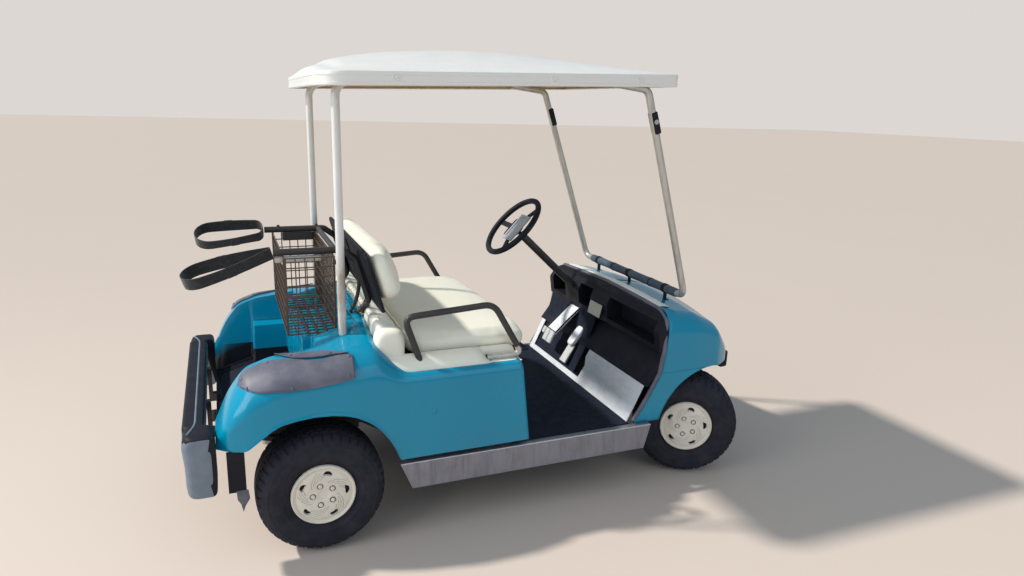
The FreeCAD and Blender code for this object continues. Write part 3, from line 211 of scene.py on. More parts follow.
def moulding(name, color, worn, grain=520, rough=0.5, share=0.35):
    p = Paint(name, color, rough)
    p.mottle((11, 5, 0.65), 0.42, 0.78, share, worn)
    p.mottle((75, 4, 0.7, (1, 1, 0.35)), 0.66, 0.75, share, worn)
    p.gloss(p.noise(20, 4), rough - 0.08, rough + 0.14)
    return p.bump(p.cells(grain, "F1"), 0.14, 0.0006)


def bare_metal(name, color, stain, rough=0.42, metal=0.75, streak=(1, 1, 0.08), share=0.5):
    p = Paint(name, color, rough, metal)
    p.mottle((55, 5, 0.7, streak), 0.45, 0.75, share, stain)
    p.mottle((14, 5, 0.6), 0.5, 0.8, share * 0.7, stain)
    p.gloss(p.noise(40, 5, 0.6, streak), rough - 0.12, rough + 0.2)
    return p.bump(p.noise(300, 3, 0.6, streak), 0.12, 0.0006)


def enamel(name, color, chip, rough=0.34, share=0.6):
    p = Paint(name, color, rough, 0.0, Coat_Weight=0.15, Coat_Roughness=0.2)
    p.mottle((8, 4), 0.4, 0.8, 0.25, chip)
    p.mottle((130, 4, 0.65), 0.68, 0.72, share, chip)
    p.gloss(p.noise(24, 4), rough - 0.08, rough + 0.14)
    return p.bump(p.noise(260, 2), 0.06, 0.0005)


def woven(name, color, scale):
    p = Paint(name, color, 0.72, Sheen_Weight=0.3, Sheen_Roughness=0.5)
    p.mottle((60, 5, 0.7), 0.45, 0.8, 0.5, (0.08, 0.08, 0.085))
    p.bump(p.waves(scale, "X"), 0.35, 0.0005)
    return p.bump(p.waves(scale, "Z"), 0.35, 0.0005)


def iron(name, color):
    p = Paint(name, color, 0.72, 0.3)
    p.mottle((22, 6, 0.7), 0.45, 0.72, 0.7, (0.13, 0.075, 0.04))
    return p.bump(p.noise(140, 4), 0.35, 0.001)


def looks_of(*rows):
    return {name: maker(name, *values) for maker, name, *values in rows}


# Each row has the maker, the name, the colour, and what else the maker takes. These are the record's slots.
LOOKS = looks_of(
    (paintwork, "body_paint"),
    (vinyl, "cream_vinyl"),
    (canopy_paint, "canopy_shell"),
    (rubber, "tyre_rubber", (0.019, 0.02, 0.03), (0.075, 0.07, 0.075), 0.3),
    (enamel, "wheel_steel", (0.1, 0.1, 0.1), (0.16, 0.1, 0.06)),
    (moulding, "cover_plastic", (0.76, 0.71, 0.62), (0.5, 0.45, 0.38), 900, 0.38, 0.35),
    (enamel, "frame_steel", (0.02, 0.02, 0.023), (0.11, 0.08, 0.06), 0.55),
    (iron, "axle_iron", (0.05, 0.045, 0.04)),
    (moulding, "guard_rubber", (0.09, 0.092, 0.13), (0.22, 0.22, 0.26), 420, 0.5, 0.6),
    (moulding, "bumper_plastic", (0.13, 0.17, 0.22), (0.24, 0.28, 0.33), 560, 0.42, 0.5),
    (moulding, "black_plastic", (0.008, 0.009, 0.016), (0.03, 0.032, 0.04), 620, 0.56, 0.25),
    (rubber, "floor_rubber", (0.006, 0.01, 0.023), (0.04, 0.05, 0.075), 0.22),
    (bare_metal, "sill_metal", (0.27, 0.275, 0.32), (0.12, 0.115, 0.125), 0.46, 0.6, (1, 1, 0.12), 0.55),
    (bare_metal, "toe_metal", (0.72, 0.75, 0.8), (0.42, 0.44, 0.48), 0.6, 0.15, (1, 0.3, 1), 0.45),
    (enamel, "white_tube", (0.7, 0.71, 0.7), (0.4, 0.38, 0.34), 0.36, 0.5),
    (bare_metal, "bare_tube", (0.55, 0.54, 0.51), (0.28, 0.25, 0.21), 0.4, 0.7, (1, 1, 0.06), 0.6),
    (enamel, "black_tube", (0.022, 0.021, 0.022), (0.085, 0.07, 0.055), 0.5, 0.7),
    (iron, "basket_wire", (0.1, 0.075, 0.06)),
    (woven, "webbing", (0.018, 0.018, 0.02), 420),
    (moulding, "placard_card", (0.5, 0.48, 0.42), (0.3, 0.28, 0.25), 300, 0.6, 0.4),
)

# Looks of small parts, which are no slots of the record.
EXTRA = looks_of(
    (canopy_board, "canopy_lining"),
    (moulding, "pedal_white", (0.62, 0.63, 0.64), (0.3, 0.3, 0.3), 500, 0.5, 0.5),
    (moulding, "sleeve_plastic", (0.045, 0.07, 0.105), (0.1, 0.13, 0.17), 500, 0.45, 0.4),
    # Painted highlight: pale cream for the sunlit sheen on the hood along the cowl's edge.
    (moulding, "seal_strip", (0.86, 0.86, 0.78), (0.5, 0.52, 0.46), 300, 0.4, 0.3),
    # Painted reflection: light bluish grey for the sky mirrored in the black scorecard holder.
    (moulding, "card_grey", (0.34, 0.36, 0.4), (0.2, 0.22, 0.26), 400, 0.45, 0.4),
    (bare_metal, "bright_edge", (0.72, 0.72, 0.73), (0.4, 0.4, 0.4), 0.32, 0.8),
)


def rust_posts(post):
    """Rust on the foot of each white post."""
    foot = post.below("Z", 0.98, 1.08)
    post.tint(post.math("MULTIPLY", foot, post.spread(post.noise(30, 5, 0.7, (1, 1, 0.3)), 0.35, 0.65, 0.1, 0.8)),
              (0.3, 0.22, 0.16))


rust_posts(LOOKS["white_tube"])
LOOKS.update(EXTRA)
DULL_SPECULAR = 0.2
for dull in ("black_plastic", "floor_rubber", "tyre_rubber", "webbing"):
    LOOKS[dull].bsdf.inputs["Specular IOR Level"].default_value = DULL_SPECULAR

slots_of = {row["node"]: row["material_slot"] for row in frame["record"]["subparts"]}
for name, thing in frame["nodes"].items():
    thing.data.materials.clear()
    thing.data.materials.append(LOOKS[slots_of[name]].mat)
# The scorecard holder's black plastic gets a painted reflection of the sky, a light bluish grey.
frame["nodes"]["scorecard_holder"].data.materials[0] = LOOKS["card_grey"].mat


# Stage

def floor():
    mesh = bpy.data.meshes.new("floor")
    mesh.from_pydata([(-60, -60, 0), (60, -60, 0), (60, 60, 0), (-60, 60, 0)], [], [(0, 1, 2, 3)])
    obj = bpy.data.objects.new("floor", mesh)
    scene.collection.objects.link(obj)
    p = Paint("floor", (0.585, 0.5, 0.44), 0.85)
    p.tint(p.spread(p.noise(0.7, 4), 0.35, 0.75, 0.0, 0.12), (0.52, 0.445, 0.395))
    obj.data.materials.append(p.mat)


def lamp(name, kind, toward, power, size, color=(1, 1, 1), at=(0, 0, 3)):
    """A sun gets its softness as an angle in degrees, an area lamp its width in metres."""
    data = bpy.data.lights.new(name, kind)
    data.energy = power
    data.color = color
    if kind == "SUN":
        data.angle = math.radians(size)
    else:
        data.shape = "SQUARE"
        data.size = size
    obj = bpy.data.objects.new(name, data)
    obj.location = at
    obj.rotation_euler = Vector(toward).to_track_quat("-Z", "Y").to_euler()
    scene.collection.objects.link(obj)


def world():
    made = bpy.data.worlds.new("studio")
    scene.world = made
    made.use_nodes = True
    tree = made.node_tree
    soft = tree.nodes["Background"]
    soft.inputs["Color"].default_value = (0.72, 0.86, 1.0, 1)
    soft.inputs["Strength"].default_value = 0.46
    seen = tree.nodes.new("ShaderNodeBackground")
    seen.inputs["Color"].default_value = (0.72, 0.68, 0.65, 1)
    seen.inputs["Strength"].default_value = 1.0
    path = tree.nodes.new("ShaderNodeLightPath")
    mix = tree.nodes.new("ShaderNodeMixShader")
    tree.links.new(path.outputs["Is Camera Ray"], mix.inputs[0])
    tree.links.new(soft.outputs[0], mix.inputs[1])
    tree.links.new(seen.outputs[0], mix.inputs[2])
    tree.links.new(mix.outputs[0], tree.nodes["World Output"].inputs["Surface"])


floor()
world()
lamp("sun", "SUN", (0.66, -0.27, -0.7), 3.7, 3, (1.0, 0.95, 0.87))
lamp("fill", "AREA", (-0.25, 0.85, -0.45), 45, 4.0, (0.85, 0.93, 1.0), (1.5, -5.5, 3.6))
lamp("rear", "AREA", (0.84, 0.24, -0.48), 75, 2.6, (0.95, 0.98, 1.0), (-4.4, -1.6, 2.6))


# Mesh helpers. Points are in millimetres until piece() turns them into metres.

def piece(name, parts, look, body="frame", bend=35.0, at=None, second=None):
    """A mesh object from (points, faces) parts, smooth below the given angle between faces."""
    points, faces = joined(parts)
    mesh = bpy.data.meshes.new(name)
    mesh.from_pydata([tuple(point * 0.001) for point in points], [], faces)
    mesh.materials.append(LOOKS[look].mat)
    if second:
        mesh.materials.append(LOOKS[second].mat)
    mesh.polygons.foreach_set("use_smooth", [True] * len(faces))
    mesh.set_sharp_from_angle(angle=math.radians(bend))
    mesh.validate()
    obj = bpy.data.objects.new(name, mesh)
    scene.collection.objects.link(obj)
    if at is not None:
        obj.matrix_world = at
    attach(obj, body)
    return obj


def joined(parts):
    """Several (points, faces) parts as one."""
    points = []
    faces = []
    first = 0
    for some_points, some_faces in parts:
        some_points = np.asarray(some_points, float)
        points.append(some_points)
        faces += [tuple(first + corner for corner in face) for face in some_faces]
        first += len(some_points)
    return np.concatenate(points), faces


def surface(grid, around=False, along=False, keep=None, flip=False):
    """Faces over a grid of points: rows closed on themselves with around, columns with along."""
    grid = np.asarray(grid, float)
    rows, columns = grid.shape[:2]
    faces = []
    for i in range(rows if along else rows - 1):
        for j in range(columns if around else columns - 1):
            if keep is not None and not keep[i][j]:
                continue
            k, m = (i + 1) % rows, (j + 1) % columns
            face = (i * columns + j, i * columns + m, k * columns + m, k * columns + j)
            faces.append(face[::-1] if flip else face)
    return grid.reshape(-1, 3), faces


def both_sides(part):
    """A part and its mirror image across the cart."""
    points, faces = part
    return [part, (np.asarray(points) * (1, -1, 1), [face[::-1] for face in faces])]


def smooth_step(value):
    value = np.clip(value, 0.0, 1.0)
    return value * value * (3 - 2 * value)


def rounded(points, bend, steps=6):
    """A polyline with its corners turned into arcs."""
    points = [np.array(point, float) for point in points]
    path = [points[0]]
    for before, corner, after in zip(points, points[1:], points[2:]):
        back, onward = before - corner, after - corner
        reach = min(bend, 0.49 * np.linalg.norm(back), 0.49 * np.linalg.norm(onward))
        start = corner + back / np.linalg.norm(back) * reach
        end = corner + onward / np.linalg.norm(onward) * reach
        for share in np.linspace(0, 1, steps):
            path.append(start * (1 - share) ** 2 + corner * 2 * share * (1 - share) + end * share ** 2)
    path.append(points[-1])
    return np.array(path)


def frames(path, closed=False):
    """Side and up directions along a path, carried without twist."""
    path = np.asarray(path, float)
    ahead = np.roll(path, -1, 0) - np.roll(path, 1, 0)
    if not closed:
        ahead[0], ahead[-1] = path[1] - path[0], path[-1] - path[-2]
    ahead /= np.linalg.norm(ahead, axis=1)[:, None]
    start = np.cross(ahead[0], (0, 0, 1) if abs(ahead[0][2]) < 0.9 else (0, 1, 0))
    sides = [start / np.linalg.norm(start)]
    for direction in ahead[1:]:
        side = sides[-1] - direction * np.dot(sides[-1], direction)
        sides.append(side / np.linalg.norm(side))
    sides = np.array(sides)
    return sides, np.cross(sides, ahead)


def tube(path, radius, sides=14, closed=False):
    """A round bar along a path, capped where it is open."""
    path = np.asarray(path, float)
    side, up = frames(path, closed)
    turn = np.linspace(0, math.tau, sides, endpoint=False)
    radius = np.broadcast_to(radius, len(path))
    ring = side[:, None] * np.cos(turn)[None, :, None] + up[:, None] * np.sin(turn)[None, :, None]
    grid = path[:, None] + ring * radius[:, None, None]
    points, faces = surface(grid, around=True, along=closed)
    if not closed:
        last = len(path) - 1
        faces.append(tuple(range(sides))[::-1])
        faces.append(tuple(last * sides + i for i in range(sides)))
    return points, faces


def turned(profile, steps=96):
    """A shape turned about the Y axis from (radius, distance outward) pairs."""
    profile = np.asarray(profile, float)
    angle = np.linspace(0, math.tau, steps, endpoint=False)
    grid = np.stack([profile[:, None, 0] * np.cos(angle), np.repeat(profile[:, 1:2], steps, 1),
                     profile[:, None, 0] * np.sin(angle)], -1)
    return surface(grid, around=True, flip=True)


def rod(start, end, radius, sides=16):
    return tube([start, end], radius, sides)


def leaned(degrees):
    """A turn about Y, which brings the upper end forward where it is positive."""
    return Matrix.Rotation(math.radians(degrees), 3, "Y")


def cushion_block(low, high, power=6.0, steps=26):
    """A box with softly rounded edges, as the shape |a|^n + |b|^n + |c|^n = 1 on each face."""
    low, high = np.array(low, float), np.array(high, float)
    middle, half = (low + high) / 2, (high - low) / 2
    parts = []
    line = np.sin(np.linspace(-0.5, 0.5, steps) * math.pi)
    for axis in range(3):
        for sign in (-1, 1):
            a, b = np.meshgrid(line, line, indexing="ij")
            cube = np.empty(a.shape + (3,))
            cube[..., axis] = sign
            cube[..., (axis + 1) % 3] = a
            cube[..., (axis + 2) % 3] = b
            size = (np.abs(cube) ** power).sum(-1) ** (1 / power)
            parts.append(surface(middle + cube / size[..., None] * half, flip=sign < 0))
    return joined(parts)


def block(low, high, soft=2.0):
    """A box with small chamfers on all its edges."""
    low, high = np.array(low, float), np.array(high, float)
    points = []
    for corner in np.ndindex(2, 2, 2):
        for axis in range(3):
            point = [low[k] + soft if not c else high[k] - soft for k, c in enumerate(corner)]
            point[axis] = high[axis] if corner[axis] else low[axis]
            points.append(point)
    mesh = bmesh.new()
    for point in points:
        mesh.verts.new(point)
    bmesh.ops.convex_hull(mesh, input=mesh.verts)
    bmesh.ops.dissolve_limit(mesh, angle_limit=0.02, verts=mesh.verts, edges=mesh.edges)
    mesh.verts.index_update()
    out = [tuple(vert.co) for vert in mesh.verts], [tuple(v.index for v in face.verts) for face in mesh.faces]
    mesh.free()
    return out


def plate(outline, low, high, axis=1):
    """A flat plate: an outline in the plane across the axis, between two levels of it."""
    others = [k for k in range(3) if k != axis]
    count = len(outline)
    points = np.zeros((2 * count, 3))
    for i, (a, b) in enumerate(outline):
        for shift, level in ((0, low), (count, high)):
            points[i + shift, others[0]], points[i + shift, others[1]] = a, b
            points[i + shift, axis] = level
    faces = [tuple(range(count)), tuple(range(count, 2 * count))[::-1]]
    faces += [(i, count + i, count + (i + 1) % count, (i + 1) % count) for i in range(count)]
    return points, faces


def shifted(part, turn=None, move=(0, 0, 0)):
    """A part turned by a matrix and then moved."""
    points = np.asarray(part[0], float)
    if turn is not None:
        points = points @ np.array(turn).T
    return points + np.array(move, float), part[1]


def add_thickness(obj, thick):
    """Gives a sheet a thickness inward, with the second material on the inner side."""
    solid = obj.modifiers.new("thickness", "SOLIDIFY")
    solid.thickness = thick * 0.001
    solid.offset = -1.0
    solid.material_offset = 1


def lines(*spans):
    """Sorted grid lines from (start, end, step) spans."""
    values = np.concatenate([np.arange(start, end, step) for start, end, step in spans])
    return np.unique(np.append(values, spans[-1][1]).round(3))


def eased(table, at, spread):
    """Columns of a table against its first one, rounded off over a spread of millimetres."""
    table = np.array(sorted(table), float)
    start, end = table[0, 0], table[-1, 0]
    fine = np.arange(start - 4 * spread, end + 4 * spread, 2.0)
    weight = np.exp(-0.5 * (np.arange(-3 * spread, 3 * spread + 1, 2.0) / spread) ** 2)
    weight /= weight.sum()
    out = []
    for column in table.T[1:]:
        raw = np.interp(fine, table[:, 0], column)
        ahead, behind = fine > end, fine < start
        raw[ahead] += (fine[ahead] - end) * (column[-1] - column[-2]) / (end - table[-2, 0])
        raw[behind] += (fine[behind] - start) * (column[1] - column[0]) / (table[1, 0] - start)
        out.append(np.interp(at, fine, np.convolve(raw, weight, "same")))
    return out


# Rear body

REAR_AXLE = -765.0
# x from the rear axle, half width, top of the side, crest side, crest height, middle height
REAR_SECTIONS = [(799, 572, 600, 545, 643, 644.5), (310, 574, 600, 545, 643, 644.5), (265, 579, 612, 490, 684, 694),
                 (205, 585, 622, 455, 755, 828), (65, 593, 625, 455, 738, 775), (-35, 595, 625, 455, 722, 730),
                 (-150, 594, 605, 455, 710, 716), (-235, 588, 560, 450, 680, 686), (-295, 572, 515, 440, 600, 606),
                 (-341, 535, 465, 425, 492, 497)]
REAR_ARCH = [(-1120, 442), (-1020, 441), (-1007, 446), (-966, 478), (-930, 507), (-898, 524), (-850, 534),
             (-790, 540), (-729, 537), (-680, 528), (-641, 514), (-600, 490), (-577, 471), (-550, 441), (-523, 402),
             (-505, 367), (-491, 330), (-484, 316), (60, 316)]
WELL_HALF, WELL_FRONT, WELL_FLOOR, WELL_SLOPE = 405.0, -795.0, 480.0, 0.3
# inner side, rear face, front face and top of each housing; half width, front and floor of the basket's recess
HOUSING = (300.0, -943.0, -757.0, 610.0)
RECESS = (312.0, -640.0, 738.0)
BODY_FRONT, BODY_LEAN, BODY_FLOOR, BODY_TOP = 34.0, 37.0, 316.0, 645.0


def rear_section(x):
    return eased([(REAR_AXLE + row[0],) + row[1:] for row in REAR_SECTIONS], x, 14)


def inside(distance, soft=8.0):
    """0 outside an edge and 1 inside it, smooth over a few millimetres."""
    return smooth_step(distance / (2 * soft) + 0.5)


def rear_height(x, y):
    """Height of the deck, the bag well, its two housings and the basket's recess."""
    crest_side, crest, middle = rear_section(x)[2:]
    top = crest + (middle - crest) * (1 - np.clip(y / crest_side, 0, 1) ** 2)
    recess = inside(RECESS[0] - y) * inside(RECESS[1] - x)
    top = top + (np.minimum(RECESS[2], top) - top) * recess
    floor = WELL_FLOOR - WELL_SLOPE * (WELL_FRONT - x)
    housing = inside(y - HOUSING[0]) * inside(x - HOUSING[1])
    floor = floor + (np.minimum(HOUSING[3], top) - floor) * housing
    well = inside(WELL_HALF - y) * inside(WELL_FRONT - x)
    front_of_housing = inside(y - HOUSING[0]) * inside(HOUSING[2] - x) * inside(WELL_HALF - y)
    top = top + (np.minimum(HOUSING[3], top) - top) * front_of_housing
    return top + (np.minimum(floor, top) - top) * well


def rear_skin(x, part):
    """Points of the half skin on one column. part runs 0 to 1 up the side and 1 to 2 over the shoulder."""
    half, side, crest_side, crest = rear_section(x)[:4]
    low = eased(REAR_ARCH, x, 5)[0]
    up = np.clip(part, 0, 1)
    over = np.clip(part - 1, 0, 1) * math.pi / 2
    z = low + (side - low) * up + (crest - side) * np.sin(over)
    y = crest_side + (half - crest_side) * np.cos(over)
    over_wheel = inside(x + 1020, 20) * inside(-478 - x, 20)
    y = y + 4.5 * np.exp(-((z - low) / 9) ** 2) * over_wheel * (part < 1)
    return np.stack(np.broadcast_arrays(x, y, z), -1)


def rear_body():
    """The rear shell: sides, shoulders and deck in one sheet, open over the engine, and the wall in front."""
    x = lines((-1106, -1090, 3), (-1090, -960, 7), (-960, -926, 3), (-926, -812, 9), (-812, -740, 3), (-740, -656, 9),
              (-656, -624, 3), (-624, -524, 7), (-524, -480, 3), (-480, -450, 6), (-450, -50, 20), (-50, 34, 12))
    flange = [[low + (0, -24, 3), low + (0, -6, 0.5)] for low in (rear_skin(column, 0.0) for column in x)]
    rise = np.concatenate([[0.0, 0.012, 0.03, 0.06, 0.1], np.linspace(0.17, 1, 11), 1 + np.linspace(0.08, 1, 13)])
    side = rear_skin(x[:, None], rise[None, :])
    crest_side = rear_section(x)[2]
    across = lines((0, 280, 20), (280, 320, 2.5), (320, 388, 8), (388, 422, 2.5))[::-1]
    share = np.array([0.25, 0.5, 0.75])
    outer = crest_side[:, None] + (across[0] - crest_side)[:, None] * share
    y = np.concatenate([outer, np.repeat(across[None, :], len(x), 0)], 1)
    top = np.stack([np.repeat(x[:, None], y.shape[1], 1), y, rear_height(x[:, None], y)], -1)
    grid = np.concatenate([np.array(flange), side, top], 1)
    lean = BODY_LEAN * np.clip((grid[..., 2] - BODY_FLOOR) / (BODY_TOP - BODY_FLOOR), 0, 1)
    grid[..., 0] -= lean * smooth_step((grid[..., 0] + 90) / (BODY_FRONT + 90))
    end = grid[0].copy()
    end[:, 0] -= 1.5
    end[:, 2] = np.minimum(end[:, 2], end[0, 2])
    end[:, 1] = np.where(end[:, 1] > WELL_HALF, end[:, 1] * 0.985 + 7, end[:, 1])
    grid = np.concatenate([end[None], grid])
    middle = (grid[1:, 1:] + grid[:-1, :-1]) / 2
    in_top = np.arange(middle.shape[1])[None, :] >= len(flange[0]) + len(rise)
    over_engine = (middle[..., 1] < 420) & (middle[..., 0] > -450) & (middle[..., 0] < -50) & in_top
    sheets = both_sides(surface(grid, keep=~over_engine))
    wall_y = np.linspace(-566, 566, 9)
    wall_z = np.linspace(BODY_FLOOR, BODY_TOP - 4, 6)
    wall = [[(BODY_FRONT - 5 - BODY_LEAN * (z - BODY_FLOOR) / (BODY_TOP - BODY_FLOOR), y, z) for y in wall_y]
            for z in wall_z]
    shell = piece("rear_body_shell", sheets + [surface(wall)], "body_paint", second="black_plastic")
    add_thickness(shell, 4)
    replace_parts(shell, "rear_body")


# x, angle of the pad's inner and outer edge over the shoulder, from 90 on top to 0 on the side
PAD_EDGES = [(-1024, 76, 74), (-1020, 84, 64), (-1012, 88, 56), (-998, 90, 47), (-980, 90, 38), (-955, 90, 30),
             (-930, 89, 24), (-900, 85, 19), (-870, 83, 15), (-830, 74, 13), (-786, 64, 11), (-746, 61, 12),
             (-700, 62, 14), (-663, 60, 16), (-643, 58, 18)]
# x, nearer and further side of the torn strip along the well's edge
STRIP_EDGES = [(-896, 407, 409), (-880, 409, 430), (-864, 414, 452), (-842, 428, 476), (-818, 440, 492),
               (-778, 452, 505), (-738, 466, 512), (-700, 494, 514), (-668, 508, 517), (-655, 512, 516)]


def shoulder_point(x, angle, lift):
    """A point over the fender's shoulder at an angle up from the side, lifted off the paint."""
    half, side, crest_side, crest = rear_section(x)[:4]
    turn = math.radians(angle)
    across, up = half - crest_side, crest - side
    out = np.array((-0.35 * smooth_step((-900 - x) / 100), math.cos(turn) / across, math.sin(turn) / up))
    out[1:] /= np.linalg.norm(out[1:])
    spot = np.array((x, crest_side + across * math.cos(turn), side + up * math.sin(turn)))
    return spot + out / np.linalg.norm(out) * lift


def rivet(spot, out, levels):
    """A low domed head standing out from a spot."""
    return tube([spot + out * level for level in levels], [6.5, 6, 3.2])


def fender_guards():
    """A thick worn pad over each fender, riveted at its corners, and the torn strip beside the near one."""
    thick, sunk = 8.0, -1.5
    along = lines((-1024, -1008, 2), (-1008, -980, 4), (-980, -643, 9))
    share = np.concatenate([[0, 0.0], np.linspace(0.03, 0.97, 24), [1.0, 1.0]])
    lift = np.concatenate([[sunk, thick * 0.8], np.full(24, thick), [thick * 0.7, sunk]])
    lift[2:26] += 2.2 * np.sin(np.linspace(0, math.pi, 24))
    inner, outer = eased(PAD_EDGES, along, 3)
    grid = []
    for i, x in enumerate(along):
        low = min(outer[i], inner[i] - 1)
        ends = min(1.0, 0.45 + (x + 1024) / 12) * min(1.0, 0.6 + (-643 - x) / 8)
        grid.append([shoulder_point(x, inner[i] + (low - inner[i]) * s, h * ends) for s, h in zip(share, lift)])
    first, last = ([shoulder_point(along[k], inner[k] + (outer[k] - inner[k]) * s, sunk) for s in share]
                   for k in (0, -1))
    grid = np.array([first] + grid + [last])
    parts = both_sides(surface(grid, flip=True))
    for i, j in ((8, 14), (12, 25), (len(grid) - 5, 22), (len(grid) - 4, 4), (22, 4), (30, 24)):
        spot = grid[i, j]
        out = np.cross(grid[i, j + 1] - grid[i, j - 1], grid[i + 1, j] - grid[i - 1, j])
        out *= (1 if out[2] > 0 else -1) / np.linalg.norm(out)
        parts += both_sides(rivet(spot, out, (-1, 1.8, 2.9)))
    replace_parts(piece("fender_guard_pads", parts, "guard_rubber"), "fender_guards")
    along = lines((-896, -655, 5))
    near, far = eased(STRIP_EDGES, along, 4)
    strip = []
    for x, a, b in zip(along, near, far):
        row = []
        for s, h in ((0, 0.5), (0.02, 4.5), (0.3, 6), (0.7, 6.5), (0.98, 9), (1.0, 5)):
            y = a + (b - a) * s
            half, _, crest_side = rear_section(x)[:3]
            if y > crest_side:
                row.append(shoulder_point(x, math.degrees(math.acos((y - crest_side) / (half - crest_side))), h))
            else:
                row.append((x, y, max(rear_height(x, max(y, 413.0)), 0) + h))
        strip.append(row)
    strip = np.array(strip) * (1, -1, 1)
    torn = [surface(strip)]
    for x, y in ((-846, 452), (-716, 503)):
        row = strip[np.argmin(np.abs(along - x))]
        spot = row[np.argmin(np.abs(row[:, 1] + y))]
        torn.append(rivet(spot, np.array((0, 0, 1.0)), (-1, 3, 4.2)))
    piece("fender_guard_strip", torn, "guard_rubber", bend=50)


# Front cowl

FRONT_AXLE = 925.0
FRONT_SECTIONS = [(-400, 545, 640, 470, 768, 785), (-225, 545, 660, 462, 770, 786), (-80, 540, 660, 445, 745, 768),
                  (35, 525, 620, 430, 690, 735), (110, 480, 540, 385, 615, 675), (180, 395, 495, 300, 560, 622),
                  (240, 270, 480, 190, 530, 572), (273, 150, 470, 100, 496, 516)]
COWL_EDGE = [(295, 534), (400, 600), (508, 655), (610, 670), (770, 687), (900, 690)]
ARCH_X, ARCH_Z, ARCH_R, PILLAR_FOOT = 929.0, 229.0, 278.0, 295.5


def front_section(x):
    return eased([(FRONT_AXLE + row[0],) + row[1:] for row in FRONT_SECTIONS], x, 12)


def cowl_edge(z):
    return eased(COWL_EDGE, z, 12)[0]


def cowl_point(x, part, low):
    """Part runs 0 to 1 up the side, 1 to 2 over the shoulder and 2 to 3 over the hood."""
    half, side, crest_side, crest, middle = front_section(x)
    side = np.maximum(side, low + 4)
    crest = np.maximum(crest, side + 4)
    up = np.clip(part, 0, 1)
    over = np.clip(part - 1, 0, 1) * math.pi / 2
    y = crest_side + (half - crest_side) * np.cos(over)
    y = y * (1 - np.clip(part - 2, 0, 1))
    hood = (middle - crest) * (1 - (y / crest_side) ** 2) * (part > 2)
    z = low + (side - low) * up + (crest - side) * np.sin(over) + hood
    return y, z


def front_cowl():
    """The front shell: hood and sides over the wheel arch, the pillar behind it, a lip and a closed nose."""
    top = ARCH_Z + ARCH_R
    near = np.linspace(0, 1, 22)
    far = lines((ARCH_X, 1090, 10), (1090, 1196, 5))[1:]
    rise = np.concatenate([[0, 0.02, 0.05], np.linspace(0.12, 1, 9), 1 + np.linspace(0.08, 1, 13),
                           2 + np.linspace(0.06, 1, 12)])
    grid = np.zeros((len(near) + len(far), len(rise), 3))
    for j, part in enumerate(rise):
        for i in range(grid.shape[0]):
            z = top
            for _ in range(6):
                edge = cowl_edge(z)
                x = edge + (ARCH_X - edge) * near[i] if i < len(near) else far[i - len(near)]
                low = top - 7 * smooth_step((x - ARCH_X) / 56)
                y, z = cowl_point(x, part, low)
            grid[i, j] = (x, y, z)
    levels = lines((PILLAR_FOOT, 480, 14), (480, 504, 4), (504, top, 1.5))
    pillar = np.zeros((len(near), len(levels), 3))
    for j, z in enumerate(levels):
        arch = ARCH_X - math.sqrt(max(0.0, ARCH_R ** 2 - (z - ARCH_Z) ** 2))
        edge = cowl_edge(z)
        x = edge + (arch - edge) * near
        pillar[:, j] = np.stack([x, front_section(x)[0], np.full(len(near), z)], -1)
    pillar[:, -1] = grid[:len(near), 0]
    lip = [pillar[-1] + (2, -24, 0), pillar[-1] + (-1, -5, 0), pillar[-1]]
    rim = grid[len(near) - 1:, 0]
    under = np.stack([rim + (0, -24, 4), rim + (0, -5, 0), rim], 1)
    nose = grid[-1]
    ends = [nose]
    for shrink, ahead in ((0.93, 1.6), (0.8, 2.4), (0.0, 3.0)):
        ring = nose.copy()
        ring[:, 0] += ahead
        ring[:, 1] *= 0.4 + 0.6 * shrink
        ring[:, 2] = 500 + (ring[:, 2] - 500) * shrink
        ends.append(ring)
    sheets = [surface(grid), surface(pillar), surface(lip, flip=True), surface(under), surface(ends)]
    sheets = [half for sheet in sheets for half in both_sides(sheet)]
    shell = piece("front_cowl_shell", sheets, "body_paint", second="black_plastic")
    add_thickness(shell, 3.5)
    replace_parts(shell, "front_cowl")


# Wheels

def tyre(name, at, body):
    """A round-shouldered tyre: small blocks in rows round the crown and rings moulded on the sidewall."""
    blocks, steps = 42, 8
    count = blocks * steps
    angle = np.arange(count) * math.tau / count
    half = [(103, 83), (110, 84.5), (117, 88), (120, 91.5), (123, 91), (132, 97.5), (141, 102), (143.5, 104.2),
            (147.5, 104.4), (149.5, 103.8), (160, 106.4), (170, 107.4), (180, 107), (188, 105.4), (190, 106.2),
            (193, 105.8), (194.5, 104.2), (201, 101.4), (207, 97.6), (208, 96.9), (213, 92), (217.5, 86.5),
            (221, 80.5), (223.5, 74.5), (225.2, 68.5), (225.8, 66), (226.2, 62), (227, 56), (227.6, 49),
            (227.8, 45), (228, 42), (228.5, 34), (228.8, 28), (228.9, 24), (228.9, 21), (229, 12), (229, 4)]
    profile = np.array(half + [(radius, -out) for radius, out in reversed(half)])
    radius, out = profile[:, 0:1], profile[:, 1:2]
    level = np.abs(out)
    step = np.arange(count)[None, :]
    tread = radius > 206
    notch = ((step + (out > 0) * 3) % steps < 1.5) & tread & (level > 63)
    zigzag = (step % steps < steps / 2) * 3.0
    circle = ((np.abs(level - 64 + zigzag * 0.6) < 2.6) | (np.abs(level - 43.5 - zigzag * 0.6) < 2.6)
              | (np.abs(level - 22.5 + zigzag * 0.6) < 2.4)) & tread
    sipe = ((step + 4 * (level > 44)) % steps < 1) & tread & (level < 62) & (level > 24)
    depth = np.maximum(np.maximum(notch * 4.0 * smooth_step((radius - 206) / 10), circle * 5.0), sipe * 3.5)
    slope = np.where(level > 70, 0.55, 0.0)
    wide = out - np.sign(out) * depth * slope
    grid = np.stack([(radius - depth) * np.cos(angle), wide, (radius - depth) * np.sin(angle)], -1)
    made = piece(name + "_tread", [surface(grid, around=True, flip=True)], "tyre_rubber", body, 30, at)
    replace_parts(made, name)


